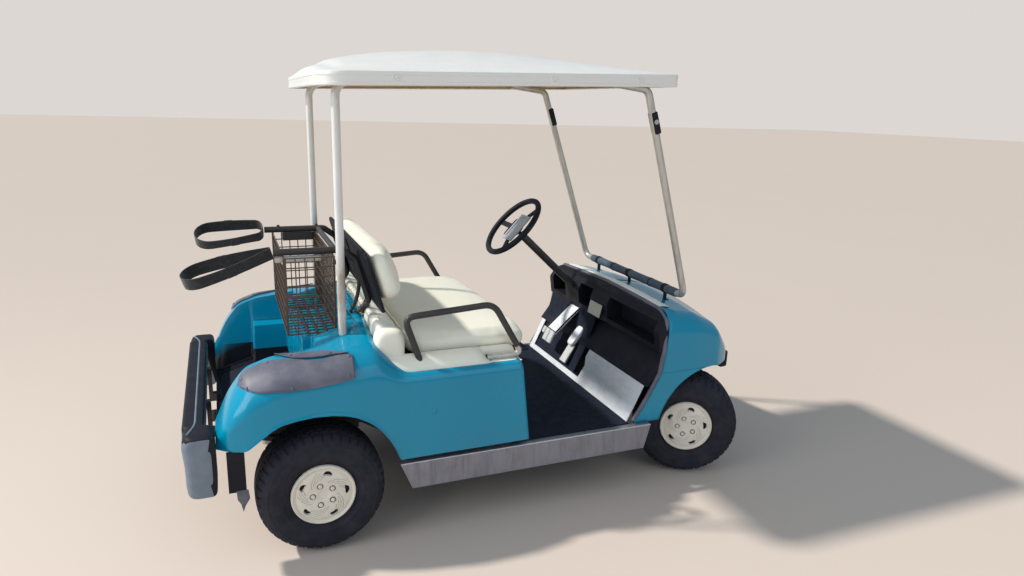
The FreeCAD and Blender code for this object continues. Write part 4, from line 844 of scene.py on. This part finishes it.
def wheel_cover(name, at, body):
    """A moulded cap: dished face, five half-round holes, five ringed lug caps and swirled grooves."""
    turns, count = 320, 5
    radius = lines((0, 24, 3), (24, 52, 1.2), (52, 96, 1.5), (96, 114, 1.2))
    angle = np.linspace(0, math.tau, turns, endpoint=False)
    r, a = np.meshgrid(radius, angle, indexing="ij")
    rings = [(0, 98), (15, 98), (18, 100), (26, 101.5), (62, 101.5), (90, 98), (97, 95.5), (99.5, 92), (102, 94.5),
             (104, 99.5), (107, 101.5), (110, 101.3), (112, 99.5), (114, 95)]
    h = eased(rings, r, 1.6)[0]
    sector = math.tau / count
    from_lug = (a + sector / 2) % sector - sector / 2
    to_lug = np.hypot(r * np.cos(from_lug) - 38, r * np.sin(from_lug))
    h = h + 4.0 * smooth_step((7.5 - to_lug) / 2.0) - 4.5 * np.exp(-((to_lug - 9.6) / 1.7) ** 2)
    from_hole = (a % sector) - sector / 2 + 0.12
    hx, hz = r * np.cos(from_hole), r * np.sin(from_hole)
    to_hole = np.hypot((hx - 76.5) / 16.0, hz / 15.5)
    hole = (to_hole < 1) & (hx > 76.5)
    rim = np.exp(-((to_hole - 1.08) / 0.07) ** 2) * (hx > 75)
    h = np.where(hole, h - 9, h + 0.9 * rim)
    for k in range(4):
        line = (a - 0.19 * k - 0.85 * (np.maximum(r - 40, 0) / 50) ** 1.15) % sector
        away = (line - sector * 0.42) * r
        ends = smooth_step((r - 46 - 4 * k) / 4) * smooth_step((93 - 3 * k - r) / 4)
        h = h - 3.4 * np.exp(-(away / 1.7) ** 2) * ends * (to_lug > 12) * ~hole
    grid = np.stack([r * np.cos(a), h, r * np.sin(a)], -1)
    back = np.stack([114 * np.cos(angle), np.full(turns, 88.0), 114 * np.sin(angle)], -1)
    made = piece(name + "_cap", [surface(np.concatenate([grid, back[None]]), around=True, flip=True)],
                 "cover_plastic", body, 40, at, second="black_plastic")
    made.data.materials.append(LOOKS["wheel_steel"].mat)
    inner = hole[:-1] & hole[1:]
    groove = (np.abs(to_lug - 9.4) < 1.3)[:-1]
    looks = np.where(inner, 1, np.where(groove, 2, 0)).reshape(-1)
    looks = np.concatenate([looks, np.zeros(turns, int)])
    made.data.polygons.foreach_set("material_index", looks.tolist())
    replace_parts(made, name)


STEER_REST = 28


def wheels():
    """Tyre and cover at each corner. The front ones are built turned to the right, as they stand at rest."""
    for end in ("front", "rear"):
        for hand, facing in (("right", 180), ("left", 0)):
            node = "tyre_%s_%s" % (end, hand)
            low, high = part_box(node)
            turn = facing - (STEER_REST if end == "front" else 0)
            at = Matrix.Rotation(math.radians(turn), 4, "Z")
            at.translation = (Vector(low) + Vector(high)) / 2
            body = "wheel_%s_%s" % (end, hand)
            tyre(node, at, body)
            wheel_cover("wheel_cover_%s_%s" % (end, hand), at, body)


# Canopy

ROOF = {"rear": -730.0, "front": 648.0, "half": 510.0, "rim": 46.0, "low_rear": 1643.0, "low_front": 1686.0,
        "rise": 84.0, "rear_corner": 100.0, "front_corner": 22.0}


def roof_outline(inset):
    """The canopy's edge in plan, drawn in by an inset."""
    points = []
    for corner, sx, sy in (("front", 1, 1), ("rear", -1, 1), ("rear", -1, -1), ("front", 1, -1)):
        radius = max(ROOF[corner + "_corner"] - inset * 0.4, 14)
        x = ROOF[corner] - sx * (inset + radius)
        y = sy * (ROOF["half"] - inset - radius)
        start = {(1, 1): 0, (-1, 1): 90, (-1, -1): 180, (1, -1): 270}[(sx, sy)]
        for angle in np.radians(np.linspace(start, start + 90, 14)):
            points.append((x + radius * math.cos(angle), y + radius * math.sin(angle)))
    points = np.array(points + points[:1])
    step = np.r_[0, np.cumsum(np.linalg.norm(np.diff(points, axis=0), axis=1))]
    even = np.unique(np.concatenate([step, np.arange(0, step[-1], 24)]))
    return points, step, even[np.r_[np.diff(even) > 0.8, True]]


def roof_low(x):
    share = (x - ROOF["rear"]) / (ROOF["front"] - ROOF["rear"])
    return ROOF["low_rear"] + (ROOF["low_front"] - ROOF["low_rear"]) * share


def roof_top(x, y):
    share = np.clip((x - ROOF["rear"]) / (ROOF["front"] - ROOF["rear"]), 0.02, 0.95)
    rise = ROOF["rise"] * np.sin(math.pi * share ** 0.8) ** 0.72
    across = 1 - (y / 482) ** 2
    edge = np.minimum(ROOF["half"] - np.abs(y), np.minimum((x - ROOF["rear"]) * 0.9, (ROOF["front"] - x)))
    plateau = smooth_step((edge - 52) / 46)
    dome = (rise + 5) * np.clip(across, 0, 1) * (0.9 + 0.1 * plateau)
    return roof_low(x) + ROOF["rim"] + 6 + dome - 5 * (1 - plateau)


def canopy():
    """The roof: a rim with a turned-in lip, a crowned top, plugs in the rim and pads where the tubes meet it."""
    outline, step, even = roof_outline(0)
    base = np.stack([np.interp(even, step, outline[:, k]) for k in (0, 1)], -1)[:-1]
    middle = np.array([(ROOF["rear"] + ROOF["front"]) / 2, 0.0])
    away = base - middle
    length = np.linalg.norm(away, axis=1)
    inward = -away / length[:, None]
    rings = []
    for inset, level in ((14, -3), (3, -3), (0, 0), (0, 8), (1.5, 9), (1.5, 30), (0, 31), (0, ROOF["rim"] - 9),
                         (2.5, ROOF["rim"] - 3), (8, ROOF["rim"])):
        spot = base + inward * inset
        rings.append(np.column_stack([spot, roof_low(base[:, 0]) + level]))
    for inset in (14, 22, 30, 38, 46, 54, 62, 70, 78, 86, 94, 102, 112, 125, 140):
        spot = base + inward * inset
        blend = smooth_step((inset - 8) / 22)
        rim = roof_low(base[:, 0]) + ROOF["rim"]
        rings.append(np.column_stack([spot, rim * (1 - blend) + roof_top(spot[:, 0], spot[:, 1]) * blend]))
    for share in np.linspace(0.1, 0.96, 15):
        spot = base + inward * (140 + (length[:, None] - 140) * share)
        rings.append(np.column_stack([spot, roof_top(spot[:, 0], spot[:, 1])]))
    points, faces = surface(rings, around=True)
    faces.append(tuple(range(len(points) - len(base), len(points))))
    made = piece("roof_canopy_shell", [(points, faces)], "canopy_shell", second="canopy_lining")
    add_thickness(made, 5)
    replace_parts(made, "roof_canopy")
    plugs = []
    for x in (-470, 110, 470):
        z = roof_low(x) + 24
        plug = turned([(0, 2.2), (6, 2.2), (7, 0.8), (8, 0.8), (9, 2.6), (11.5, 2.6), (12.5, 0), (12.5, -3)], 28)
        plugs += both_sides(shifted(plug, move=(x, ROOF["half"] - 1.5, z)))
    piece("roof_rim_plugs", plugs, "canopy_shell")
    feet = []
    for x, y, top in ((340, 480, 1709), (-450, 374, 1719)):
        feet += both_sides(block((x - 40, y - 22, top - 4), (x + 60, y + 22, top + 6), 3))
    piece("roof_mounting_pads", feet, "canopy_lining")


# Rear bumper

def rear_bumper():
    """A moulded beam with a deep block at each end, rounded at the corners, and a raised top rib."""
    back, depth, top, bar, foot, half = -1212.0, 74.0, 512.0, 82.0, 283.0, 578.0
    block_wide, block_deep = 104.0, 104.0
    inner = half - block_wide
    across = np.concatenate([np.linspace(0, inner - 20, 14), [inner - 5, inner + 5],
                             np.linspace(inner + 14, half - 36, 8),
                             half - 34 * (1 - np.sin(np.linspace(0.05, 0.5, 10) * math.pi))])
    turns = np.linspace(0, math.tau, 36, endpoint=False)
    cos, sin = np.cos(turns), np.sin(turns)
    grid = []
    for y in across:
        in_block = smooth_step((y - inner + 6) / 12)
        deep = depth + (block_deep - depth) * in_block
        low = top - bar + (foot - top + bar) * in_block
        shrink = 34 - math.sqrt(max(0.0, 34 ** 2 - max(0.0, y - half + 34) ** 2))
        power = 0.32
        x = back + shrink + (deep - shrink) / 2 * (1 + np.sign(cos) * np.abs(cos) ** power)
        tall = (top - low) / 2 - shrink * 0.35
        z = (top + low) / 2 + tall * np.sign(sin) * np.abs(sin) ** power
        belly = 6 * in_block * np.exp(-((z - 470) / 40) ** 2) - 6 * in_block
        x = x - np.minimum(0, belly) * (x < back + deep / 2)
        grid.append(np.stack([x, np.full(len(x), y), z], -1))
    last = grid[-1].copy()
    centre = last.mean(0)
    for shrink in (0.9, 0.6, 0.0):
        grid.append(centre + (last - centre) * shrink + (0, 0.6 * (1 - shrink), 0))
    parts = both_sides(surface(np.array(grid), around=True, flip=True))
    rib = tube(rounded([(back + 20, -540, top - 2), (back + 44, -470, top - 2), (back + 44, 470, top - 2),
                        (back + 20, 540, top - 2)], 40), 4.0, 10)
    made = piece("rear_bumper_beam", parts + [rib], "bumper_plastic", second="black_plastic")
    for face in made.data.polygons:
        face.material_index = int(face.center.z > 0.47 and face.normal.z > 0.3 or face.center.x > -1.13)
    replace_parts(made, "rear_bumper")


def splash_flaps():
    """The torn end of the splash guard on the near side."""
    torn = [(-1052, 296), (-1014, 296), (-1010, 262), (-1026, 236), (-1034, 214), (-1040, 245), (-1050, 262)]
    piece("torn_flap", [plate(torn, -574.2, -572.6)], "guard_rubber")


# Cushions

VOXEL = 0.006
CLOTH = {"quality": 4, "mass": 0.35, "tension_stiffness": 18, "compression_stiffness": 18, "shear_stiffness": 8,
         "bending_stiffness": 1.5, "use_pressure": True, "uniform_pressure_force": 4.0}


def inflated(obj, moves, firm):
    """Lets a closed foam shape swell under pressure, by no more than moves, and never against firm."""
    remesh = obj.modifiers.new("even", "REMESH")
    remesh.mode = "VOXEL"
    remesh.voxel_size = VOXEL
    depsgraph = bpy.context.evaluated_depsgraph_get()
    start = bpy.data.meshes.new_from_object(obj.evaluated_get(depsgraph))
    obj.modifiers.clear()
    material = obj.data.materials[0]
    obj.data = start
    obj.data.materials.clear()
    obj.data.materials.append(material)
    before = np.empty(len(start.vertices) * 3)
    start.vertices.foreach_get("co", before)
    cloth = obj.modifiers.new("fill", "CLOTH")
    for key, value in CLOTH.items():
        setattr(cloth.settings, key, value)
    cloth.settings.effector_weights.gravity = 0.0
    cloth.collision_settings.use_collision = False
    for number in range(1, 21):
        scene.frame_set(number)
    depsgraph = bpy.context.evaluated_depsgraph_get()
    after = np.empty(len(start.vertices) * 3)
    obj.evaluated_get(depsgraph).data.vertices.foreach_get("co", after)
    scene.frame_set(1)
    obj.modifiers.clear()
    shift = (after - before).reshape(-1, 3)
    shift -= np.minimum(shift @ firm, 0)[:, None] * firm
    size = np.linalg.norm(shift, axis=1, keepdims=True)
    shift *= np.minimum(1, moves / np.maximum(size, 1e-9))
    obj.data.vertices.foreach_set("co", (before.reshape(-1, 3) + shift).reshape(-1))
    obj.data.polygons.foreach_set("use_smooth", [True] * len(obj.data.polygons))
    smooth = obj.modifiers.new("even out", "SMOOTH")
    smooth.factor = 0.7
    smooth.iterations = 22


def cushion(name, low, high, replaced, body, power, moves, firm, lean=0.0, pivot=None, shape=None):
    """A padded cushion grown from a softly rounded block, leant back where asked."""
    points, faces = cushion_block(low, high, power)
    if shape:
        points = shape(points)
    if lean:
        points = (points - pivot) @ np.array(leaned(-lean)).T + pivot
    made = piece(name, [(points, faces)], "cream_vinyl", body, 60)
    inflated(made, moves, np.array(firm))
    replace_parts(made, *replaced)


def seat():
    """The seat cushion, with a stitched arc low on each side."""
    def crowned(points):
        """The cushion thins toward its front edge and its underside stays flat."""
        points = points.copy()
        share = np.clip((points[:, 0] + 100) / 190, 0, 1)
        top = points[:, 2] > 700
        points[:, 2] -= top * 26 * share ** 2 * (points[:, 2] - 700) / 45
        return points

    cushion("seat_cushion_foam", (-436, -481, 662), (87, 481, 744), ["seat_cushion"], "seat", 7.0,
            0.016, (0, 0, 1), shape=crowned)
    arcs = []
    for side in (-1, 1):
        arc = rounded([(-324, side * 482, 694), (-334, side * 484, 672), (-372, side * 481, 656)], 20)
        arcs.append(tube(arc, 2.8, 8))
    piece("seat_corner_seams", arcs, "cream_vinyl", "seat")


def seat_ledges():
    """Vinyl strips that carry the seat's side down to the body's edge."""
    grid = []
    for x in lines((-536, 6, 20)):
        inner = smooth_step((6 - x) / 30)
        outer = inner * (0.13 + 0.87 * smooth_step((-112 - x) / 60))
        grid.append([(x, y, 641 + (z - 641) * (inner if y < 490 else outer))
                     for y, z in ((474, 640), (475, 690), (488.5, 695), (493, 698), (505, 692), (519, 678),
                                  (532, 660), (540, 646), (541.5, 640))])
    piece("seat_side_ledges", both_sides(surface(grid)), "cream_vinyl", bend=60)


def seat_rear_shelf():
    """The vinyl step between the seat and the back."""
    def stepped(points):
        points = points.copy()
        share = np.clip((points[:, 0] + 552) / 106, 0, 1)
        top = (points[:, 2] - 652) / 186
        points[:, 2] = 652 + top * (838 - 80 * share ** 1.3 - 652)
        return points

    cushion("seat_rear_roll", (-552, -466, 653), (-442, 466, 838), ["seat_rear_shelf"], "frame", 6.0,
            0.009, (1, 0, 0), shape=stepped)
    pad = cushion_block((-552, 410, 636), (-441, 502, 792), 3.6, 18)
    piece("rear_corner_pads", both_sides(pad), "cream_vinyl", bend=60)


BACK_LEAN = 16
BACK_PIVOT = np.array((-424.0, 0, 877))


def leant(depth):
    """A shift square to the leaning back, positive toward the front."""
    lean = math.radians(BACK_LEAN)
    return np.array((depth * math.cos(lean), 0, depth * math.sin(lean)))


def backrest():
    """The back cushion, its black shell with a rolled edge and three ribs, and its pivots."""
    low = BACK_PIVOT + (-85, -448, 2)
    high = BACK_PIVOT + (-2, 448, 231)

    def bowed(points):
        """Fuller low down, with the top edge drawn back."""
        points = points.copy()
        up = (points[:, 2] - low[2]) / 229
        front = (points[:, 0] - low[0]) / 83
        points[:, 0] -= 16 * front * np.clip(up - 0.45, 0, 1) ** 1.5
        points[:, 0] += 9 * front * np.exp(-((up - 0.3) / 0.25) ** 2)
        return points

    cushion("back_cushion_foam", low, high, ["backrest_cushion"], "frame", 5.0, 0.02,
            leant(1), BACK_LEAN, BACK_PIVOT, bowed)
    turn = leaned(-BACK_LEAN)
    edge = [(0, -440, -4), (0, -440, 214), (0, -400, 228), (0, 400, 228), (0, 440, 214), (0, 440, -4), (0, 400, -10),
            (0, -400, -10)]
    path = rounded(edge + [edge[0]], 30)[:-1]
    parts = [shifted(tube(path, 6, 10, closed=True), turn, BACK_PIVOT + leant(-89))]
    boards = [block((-93.5, -436, -6), (-86, 436, 224), 2)]
    boards += [block((-98, y - 16, 12), (-92, y + 16, 206), 3) for y in (-260, 0, 260)]
    parts += [shifted(board, turn, BACK_PIVOT) for board in boards]
    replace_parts(piece("back_shell", parts, "black_plastic"), "backrest_panel")
    piece("back_pivots", [rod((-560, y - 14, 866), (-560, y + 14, 866), 9) for y in (-380, 380)], "black_tube")


# Tubes, straps and rack plates

def armrests():
    """Bent tubes, worn bright along their lower bar, with a plate at each foot."""
    y = -510
    corners = [(-130, y, 656), (17, y, 656), (-105, y, 867), (-451, y, 842), (-383, y, 645)]
    bars = [tube(rounded(corners, 42, 9), 12.3, 18)]
    bars += [tube([(x, y, 643.4), (x, y, 646.4), (x, y, 648)], [20, 20, 16], 24) for x in (-130, -383)]
    parts = [half for bar in bars for half in both_sides(bar)]
    made = piece("armrest_tubes", parts, "black_tube", bend=50)
    made.data.materials.append(LOOKS["bare_tube"].mat)
    for face in made.data.polygons:
        face.material_index = int(face.center.x > -0.125 and face.center.z < 0.69)
    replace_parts(made, "armrests")


def loop_points(droop, roll, reach, heel):
    """The middle line of a strap loop, as wide as heel at the rack and round at its tip, and its turn."""
    radius = 62.0
    run = reach - radius
    bend = min(heel, 30.0)
    turn = np.radians(np.linspace(-80, 80, 9))
    spots = list(np.column_stack([bend * (np.cos(turn) - 1), heel * np.sin(turn), 0 * turn]))
    share = np.linspace(0.06, 1.0, 12)
    width = heel + (radius - heel) * np.sin(share * math.pi / 2)
    side = np.column_stack([-bend - (run - bend) * share, width, 0 * share])
    turn = np.radians(np.linspace(90, 270, 17))[1:-1]
    spots += list(side)
    spots += list(np.column_stack([-run + radius * np.cos(turn), radius * np.sin(turn), 0 * turn]))
    spots += list(side[::-1] * (1, -1, 1))
    turn = leaned(-droop) @ Matrix.Rotation(math.radians(roll), 3, "X")
    return np.array(spots), np.array(turn)


def bag_straps():
    """Flat webbing, doubled and stitched half way along, hung from the rack bars."""
    parts = []
    for side, droop, roll, reach, heel, joints in ((-1, 16, 12, 318, 9, (16, 41)), (1, 5, 28, 272, 46, (15, 42))):
        spots, turn = loop_points(droop, roll, reach, heel)
        ahead = np.roll(spots, -1, 0) - np.roll(spots, 1, 0)
        out = np.cross(ahead, (0, 0, 1))
        out /= np.linalg.norm(out, axis=1)[:, None]
        far = np.clip(-spots[:, 0] / reach, 0, 1)
        twist = 5.0 * np.sin(far * math.pi) * np.sign(spots[:, 1]) * (np.abs(spots[:, 1]) > 4)
        grid = []
        for across, thick in ((-22.5, 0), (-22.5, 2.6), (-8, 3), (8, 3), (22.5, 2.6), (22.5, 0), (8, 0.2), (-8, 0.2)):
            shift = (thick - 3.0) * out + np.array((0, 0, 1.0)) * across
            shift[:, 1] += twist * across / 22
            grid.append(spots + shift)
        move = np.array((-872 - 3.8, side * 250, 1051))
        parts.append(shifted(surface(np.array(grid), along=True, around=True, flip=True), turn, move))
        for spot in joints:
            here, way = spots[spot], out[spot]
            run = ahead[spot] / np.linalg.norm(ahead[spot])
            patch = []
            for along, thick in ((-17, 0.1), (-16, 2.2), (16, 2.2), (17, 0.1)):
                patch.append([here + run * along + way * thick + (0, twist[spot] * z / 22, z)
                              for z in (-22.5, 0, 22.5)])
            parts.append(shifted(surface(np.array(patch)), turn, move))
    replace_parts(piece("bag_strap_loops", parts, "webbing", bend=40), "bag_straps")


def rack_details():
    """The plate under the far bar, the bright bracket and the bent stay under the near one, and their screws."""
    parts = [block((-800, 236, 1003), (-672, 264, 1037), 3)]
    parts += [rod((x, 250, 1064), (x, 250, 1070), 6) for x in (-815, -655)]
    bend = [(x, -236, z) for x, z in ((-612, 1044), (-584, 1010), (-556, 920), (-575, 838), (-600, 800))]
    parts.append(tube(rounded(bend, 40), 7.5, 12))
    piece("rack_plates", parts, "black_tube")
    strip = [block((-868, -258, 1012), (-700, -246, 1036), 3)]
    strip += [rod((x, -252, 1008), (x, -252, 1014), 6) for x in (-840, -740)]
    piece("rack_bracket", strip, "bare_tube")


# Roof posts, screen bar and clips

def hoop_details():
    """Dark sleeve and clamps on the hoop's lower bar, and the screen clips near its top corners."""
    bar_x, bar_z = 803, 815
    sleeve = tube([(bar_x, y, bar_z) for y in np.linspace(-395, 372, 60)],
                  19.2 + 0.5 * np.sin(np.linspace(0, 30, 60)), 20)
    piece("screen_sleeve", [sleeve], "sleeve_plastic")
    clamps = []
    for y in (-308, 0, 308):
        clamps.append(tube([(bar_x, y + k, bar_z) for k in (-12, -11, 11, 12)], [19, 21.5, 21.5, 19], 24))
        clamps.append(block((796, y - 6, 760), (810, y + 6, 800), 2))
        clamps.append(block((786, y - 9, 758), (820, y + 9, 764), 2))
    clamps += [tube([(bar_x, y - 3, bar_z), (bar_x, y + 3, bar_z)], [21, 21], 20) for y in (-190, 150)]
    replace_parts(piece("screen_clamps", clamps, "black_plastic"), "windshield_clips")
    height = 1545
    share = (height - bar_z) / (1670 - bar_z)
    x, y = bar_x + (525 - bar_x) * share, 450 + 30 * share
    turn = leaned(-18)
    clip = shifted(block((-13, -19, -44), (13, 19, 44), 4), turn, (x + 3, y, height))
    piece("screen_top_clips", both_sides(clip), "black_plastic")
    bolts = []
    for length, radius, sides in ((6, 6.5, 6), (2.5, 9.5, 16)):
        bolts += both_sides(rod((x, y + 18, height + 4), (x, y + 18 + length, height + 4), radius, sides))
    piece("screen_clip_bolts", bolts, "bare_tube")


HOOD_EDGE = 687.0


def cowl_highlight_strip():
    """A pale strip on the hood along the cowl's rear edge: a painted highlight for the sunlit sheen of the hood's
    paint there.
    """
    grid = []
    for y in np.linspace(-440, 440, 45):
        row = []
        for ahead, lift in ((3, 0.5), (4, 3), (14, 4), (40, 4), (52, 3), (54, 0.3)):
            x = HOOD_EDGE + ahead
            crest_side, crest, middle = front_section(x)[2:]
            row.append((x, y, crest + (middle - crest) * (1 - (y / crest_side) ** 2) + lift))
        grid.append(row)
    piece("cowl_painted_highlight", [surface(grid)], "seal_strip", bend=60)


def hand_wheel():
    """The padded grip round the steering wheel's rim and the pad over its hub."""
    at = Matrix.Rotation(math.radians(-47), 4, "Y")
    at.translation = Vector((0.29, 0.28, 1.021))
    turn = np.linspace(0, math.tau, 96, endpoint=False)
    grip = tube(np.column_stack([163 * np.cos(turn), 163 * np.sin(turn), 0 * turn]), 14.0, 16, closed=True)
    pad = shifted(cushion_block((-62, -46, -20), (52, 46, -3), 5, 14))
    piece("steering_grip", [grip, pad], "black_plastic", "hand_wheel", at=at)


# Footwell

def ribbed_pad(foot, tip, start, end, thick=8.0, ribs=9):
    """A pedal pad between two points of the side view, ribbed across on its face."""
    foot, tip = np.array(foot, float), np.array(tip, float)
    run = (tip - foot) / np.linalg.norm(tip - foot)
    face = np.array((-run[1], run[0]))
    length = np.linalg.norm(tip - foot)
    outline = [foot, tip, tip - face * thick, foot - face * thick]
    parts = [plate([tuple(point) for point in outline], start, end)]
    for i in range(ribs):
        at = foot + run * length * (i + 0.5) / ribs
        rib = [at - run * 2.2, at - run * 1.2 + face * 2.6, at + run * 1.2 + face * 2.6, at + run * 2.2]
        parts.append(plate([tuple(point) for point in rib], start + 3, end - 3))
    return parts


def pedals():
    """Brake and parking pads on one lever, and the accelerator with its dark side cheek."""
    pads = ribbed_pad((470, 425), (497, 482), 186, 228) + ribbed_pad((470, 425), (497, 482), 233, 274)
    pads += ribbed_pad((482, 452), (497, 482), 279, 307, ribs=5)
    accelerator = ribbed_pad((516, 345), (570, 428), 96, 154, ribs=12)
    piece("pedal_pads", pads + accelerator, "pedal_white", bend=25)
    lever = plate([(500, 470), (506, 466), (654, 599), (644, 599)], 190, 292)
    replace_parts(piece("brake_lever", [lever], "toe_metal", bend=25), "brake_pedal")
    rims = [tube(rounded([(498, y, 470), (572, y, 540), (641, y, 599)], 10), 4.2, 8) for y in (190, 292)]
    rims.append(plate([(480, 423), (508, 480), (504, 484), (474, 425)], 188, 304))
    cheek = plate([(520, 340), (528, 336), (584, 424), (572, 432)], 88, 95)
    arm = plate([(568, 424), (576, 420), (594, 452), (585, 454)], 115, 135)
    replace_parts(piece("pedal_arms", rims + [cheek, arm], "black_plastic", bend=25), "accelerator_pedal")
    dome = shifted(cushion_block((-13, -30, -62), (13, 30, 52), 4, 12), leaned(38), (594, 125, 476))
    piece("accelerator_arm", [dome], "toe_metal", bend=50)


def footwell_lining():
    """The dark inner panel behind the pedals, which closes the view to the wheel well."""
    outline = [(516, 293), (597, 454), (641, 602), (645, 602), (601, 454), (520, 293)]
    piece("footwell_lining", [plate(outline, 22, 514)], "floor_rubber", bend=30)


def placard():
    """A blank card in a dark frame on the dash."""
    low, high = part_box("dash_placard")
    x, y, z = (low[0] * 1000 - 5, (low[1] + high[1]) * 500 + 6, (low[2] + high[2]) * 500 + 2)
    turn = leaned(13)
    card = shifted(block((-1.5, -62, -34), (1.5, 62, 34), 0.5), turn, (x, y, z))
    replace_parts(piece("placard_card", [card], "placard_card", bend=30), "dash_placard")
    edge = rounded([(0, -62, -34), (0, -62, 34), (0, 62, 34), (0, 62, -34), (0, -62, -34)], 6)
    piece("placard_frame", [shifted(tube(edge[:-1], 3.2, 8, closed=True), turn, (x, y, z))], "black_plastic")


def sills():
    """A bright metal lip along each rocker's top edge, lighter than the sill."""
    lips = [tube([(x, side * 570.0, 293.2) for x in np.linspace(-482, 600, 30)], 2.6, 8) for side in (-1, 1)]
    piece("sill_lips", lips, "bright_edge")


def panel_caps():
    """A press cap on each side panel."""
    cap = turned([(0, 3.2), (5, 3.0), (9, 2.2), (12, 0.4), (12, -1)], 28)
    piece("panel_caps", both_sides(shifted(cap, move=rear_skin(-356.0, 0.62))), "body_paint")


def soften(names, width):
    """Small round edges on the solids that are shown as they are."""
    for name in names:
        bevel = frame["nodes"][name].modifiers.new("soft edges", "BEVEL")
        bevel.width = width * 0.001
        bevel.segments = 2
        bevel.limit_method = "ANGLE"
        bevel.angle_limit = math.radians(40)


for build in (rear_body, fender_guards, front_cowl, wheels, canopy, rear_bumper, splash_flaps, seat, seat_ledges,
              seat_rear_shelf, backrest, armrests, bag_straps, rack_details, hoop_details, cowl_highlight_strip, hand_wheel,
              pedals, footwell_lining, placard, sills, panel_caps):
    build()
soften(["dashboard", "toe_plate", "sill_panels", "rear_splash_guards", "steering_column",
        "bag_well_liner", "scorecard_holder"], 1.5)
soften(["steering_wheel", "front_bumper"], 3)
